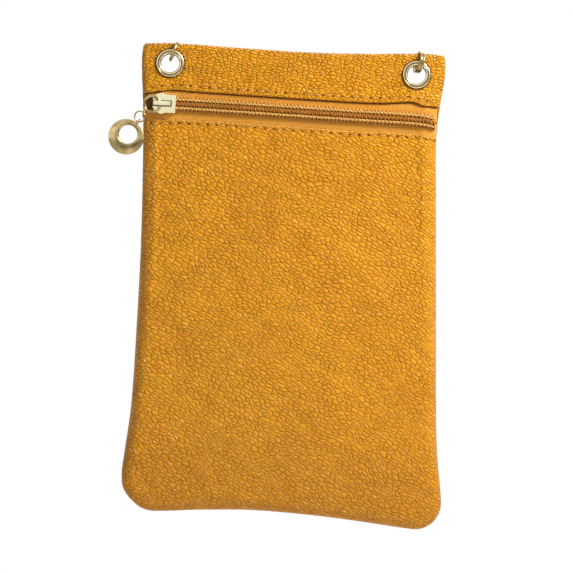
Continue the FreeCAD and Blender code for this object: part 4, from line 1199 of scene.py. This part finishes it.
def soft_lamp(name, place, aim, size, power, gloss=1.0):
    """A square area lamp that points at a place."""
    bpy.ops.object.select_all(action="DESELECT")
    bpy.ops.object.light_add(type="AREA", location=place)
    lamp = bpy.context.object
    lamp.name = name
    lamp.rotation_euler = (Vector(aim) - Vector(place)).to_track_quat("-Z", "Y").to_euler()
    lamp.data.size = size
    lamp.data.energy = power
    lamp.data.specular_factor = gloss


def mix_shaders(tree, factor, first, second, output):
    """Mixes two shaders into an output's surface."""
    mixed = tree.nodes.new("ShaderNodeMixShader")
    feed(tree, mixed.inputs[0], factor)
    feed(tree, mixed.inputs[1], first.outputs[0])
    feed(tree, mixed.inputs[2], second.outputs[0])
    feed(tree, output.inputs["Surface"], mixed.outputs[0])


soft_lamp("key lamp", (0.39, -0.33, 0.32), MIDDLE, 0.22, 5.6)
soft_lamp("fill lamp", (-0.8, -0.9, 0.1), MIDDLE, 0.8, 1.0)
soft_lamp("back lamp", (0.3, 1.0, 0.7), MIDDLE, 0.8, 10.0, gloss=0.2)

world = bpy.data.worlds.new("white studio")
bpy.context.scene.world = world
world.use_nodes = True
tree = world.node_tree
tree.nodes.clear()
paths = tree.nodes.new("ShaderNodeLightPath").outputs
through = calc(tree, "MAXIMUM", paths["Is Camera Ray"], paths["Is Transmission Ray"])
seen = calc(tree, "MAXIMUM", through, paths["Is Glossy Ray"])
direction = tree.nodes.new("ShaderNodeTexCoord").outputs["Generated"]
looking = add(tree, "SeparateXYZ", None, Vector=direction)
room = span(tree, looking.outputs["Z"], -0.45, -0.05, LOW_ROOM, 1.0)
lit = add(tree, "Background", None, Color=WHITE, Strength=WORLD_LIGHT)
white = add(tree, "Background", None, Color=WHITE, Strength=calc(tree, "MAXIMUM", through, room))
mix_shaders(tree, seen, lit, white, tree.nodes.new("ShaderNodeOutputWorld"))

bpy.ops.object.select_all(action="DESELECT")
bpy.ops.mesh.primitive_plane_add(size=FLOOR_SIZE, location=(0, 0, FLOOR_HEIGHT))
floor = bpy.context.object
floor.name = "floor"
pale, tree, shader, place = new_material("pale floor", specular=0.1)
speckle = add(tree, "TexNoise", None, Vector=place, Scale=30.0, Detail=2.0)
feed(tree, shader.inputs["Base Color"],
     blend_colour(tree, speckle.outputs["Fac"], FLOOR_DARK, FLOOR_LIGHT))
shader.inputs["Roughness"].default_value = 0.8
paths = tree.nodes.new("ShaderNodeLightPath").outputs
seen = calc(tree, "MAXIMUM", paths["Is Camera Ray"], paths["Is Transmission Ray"])
away = add(tree, "VectorMath", {"operation": "LENGTH"})
feed(tree, away.inputs[0], place)
fade = calc(tree, "MULTIPLY", seen, span(tree, away.outputs["Value"], FADE_START, FADE_END, NEAR_GLOW, 1.0))
glow = add(tree, "Emission", None, Color=WHITE, Strength=1.0)
mix_shaders(tree, fade, shader, glow, tree.nodes["Material Output"])
floor.data.materials.append(pale)

bpy.context.scene.view_settings.view_transform = "Standard"
print("lamps: 3")
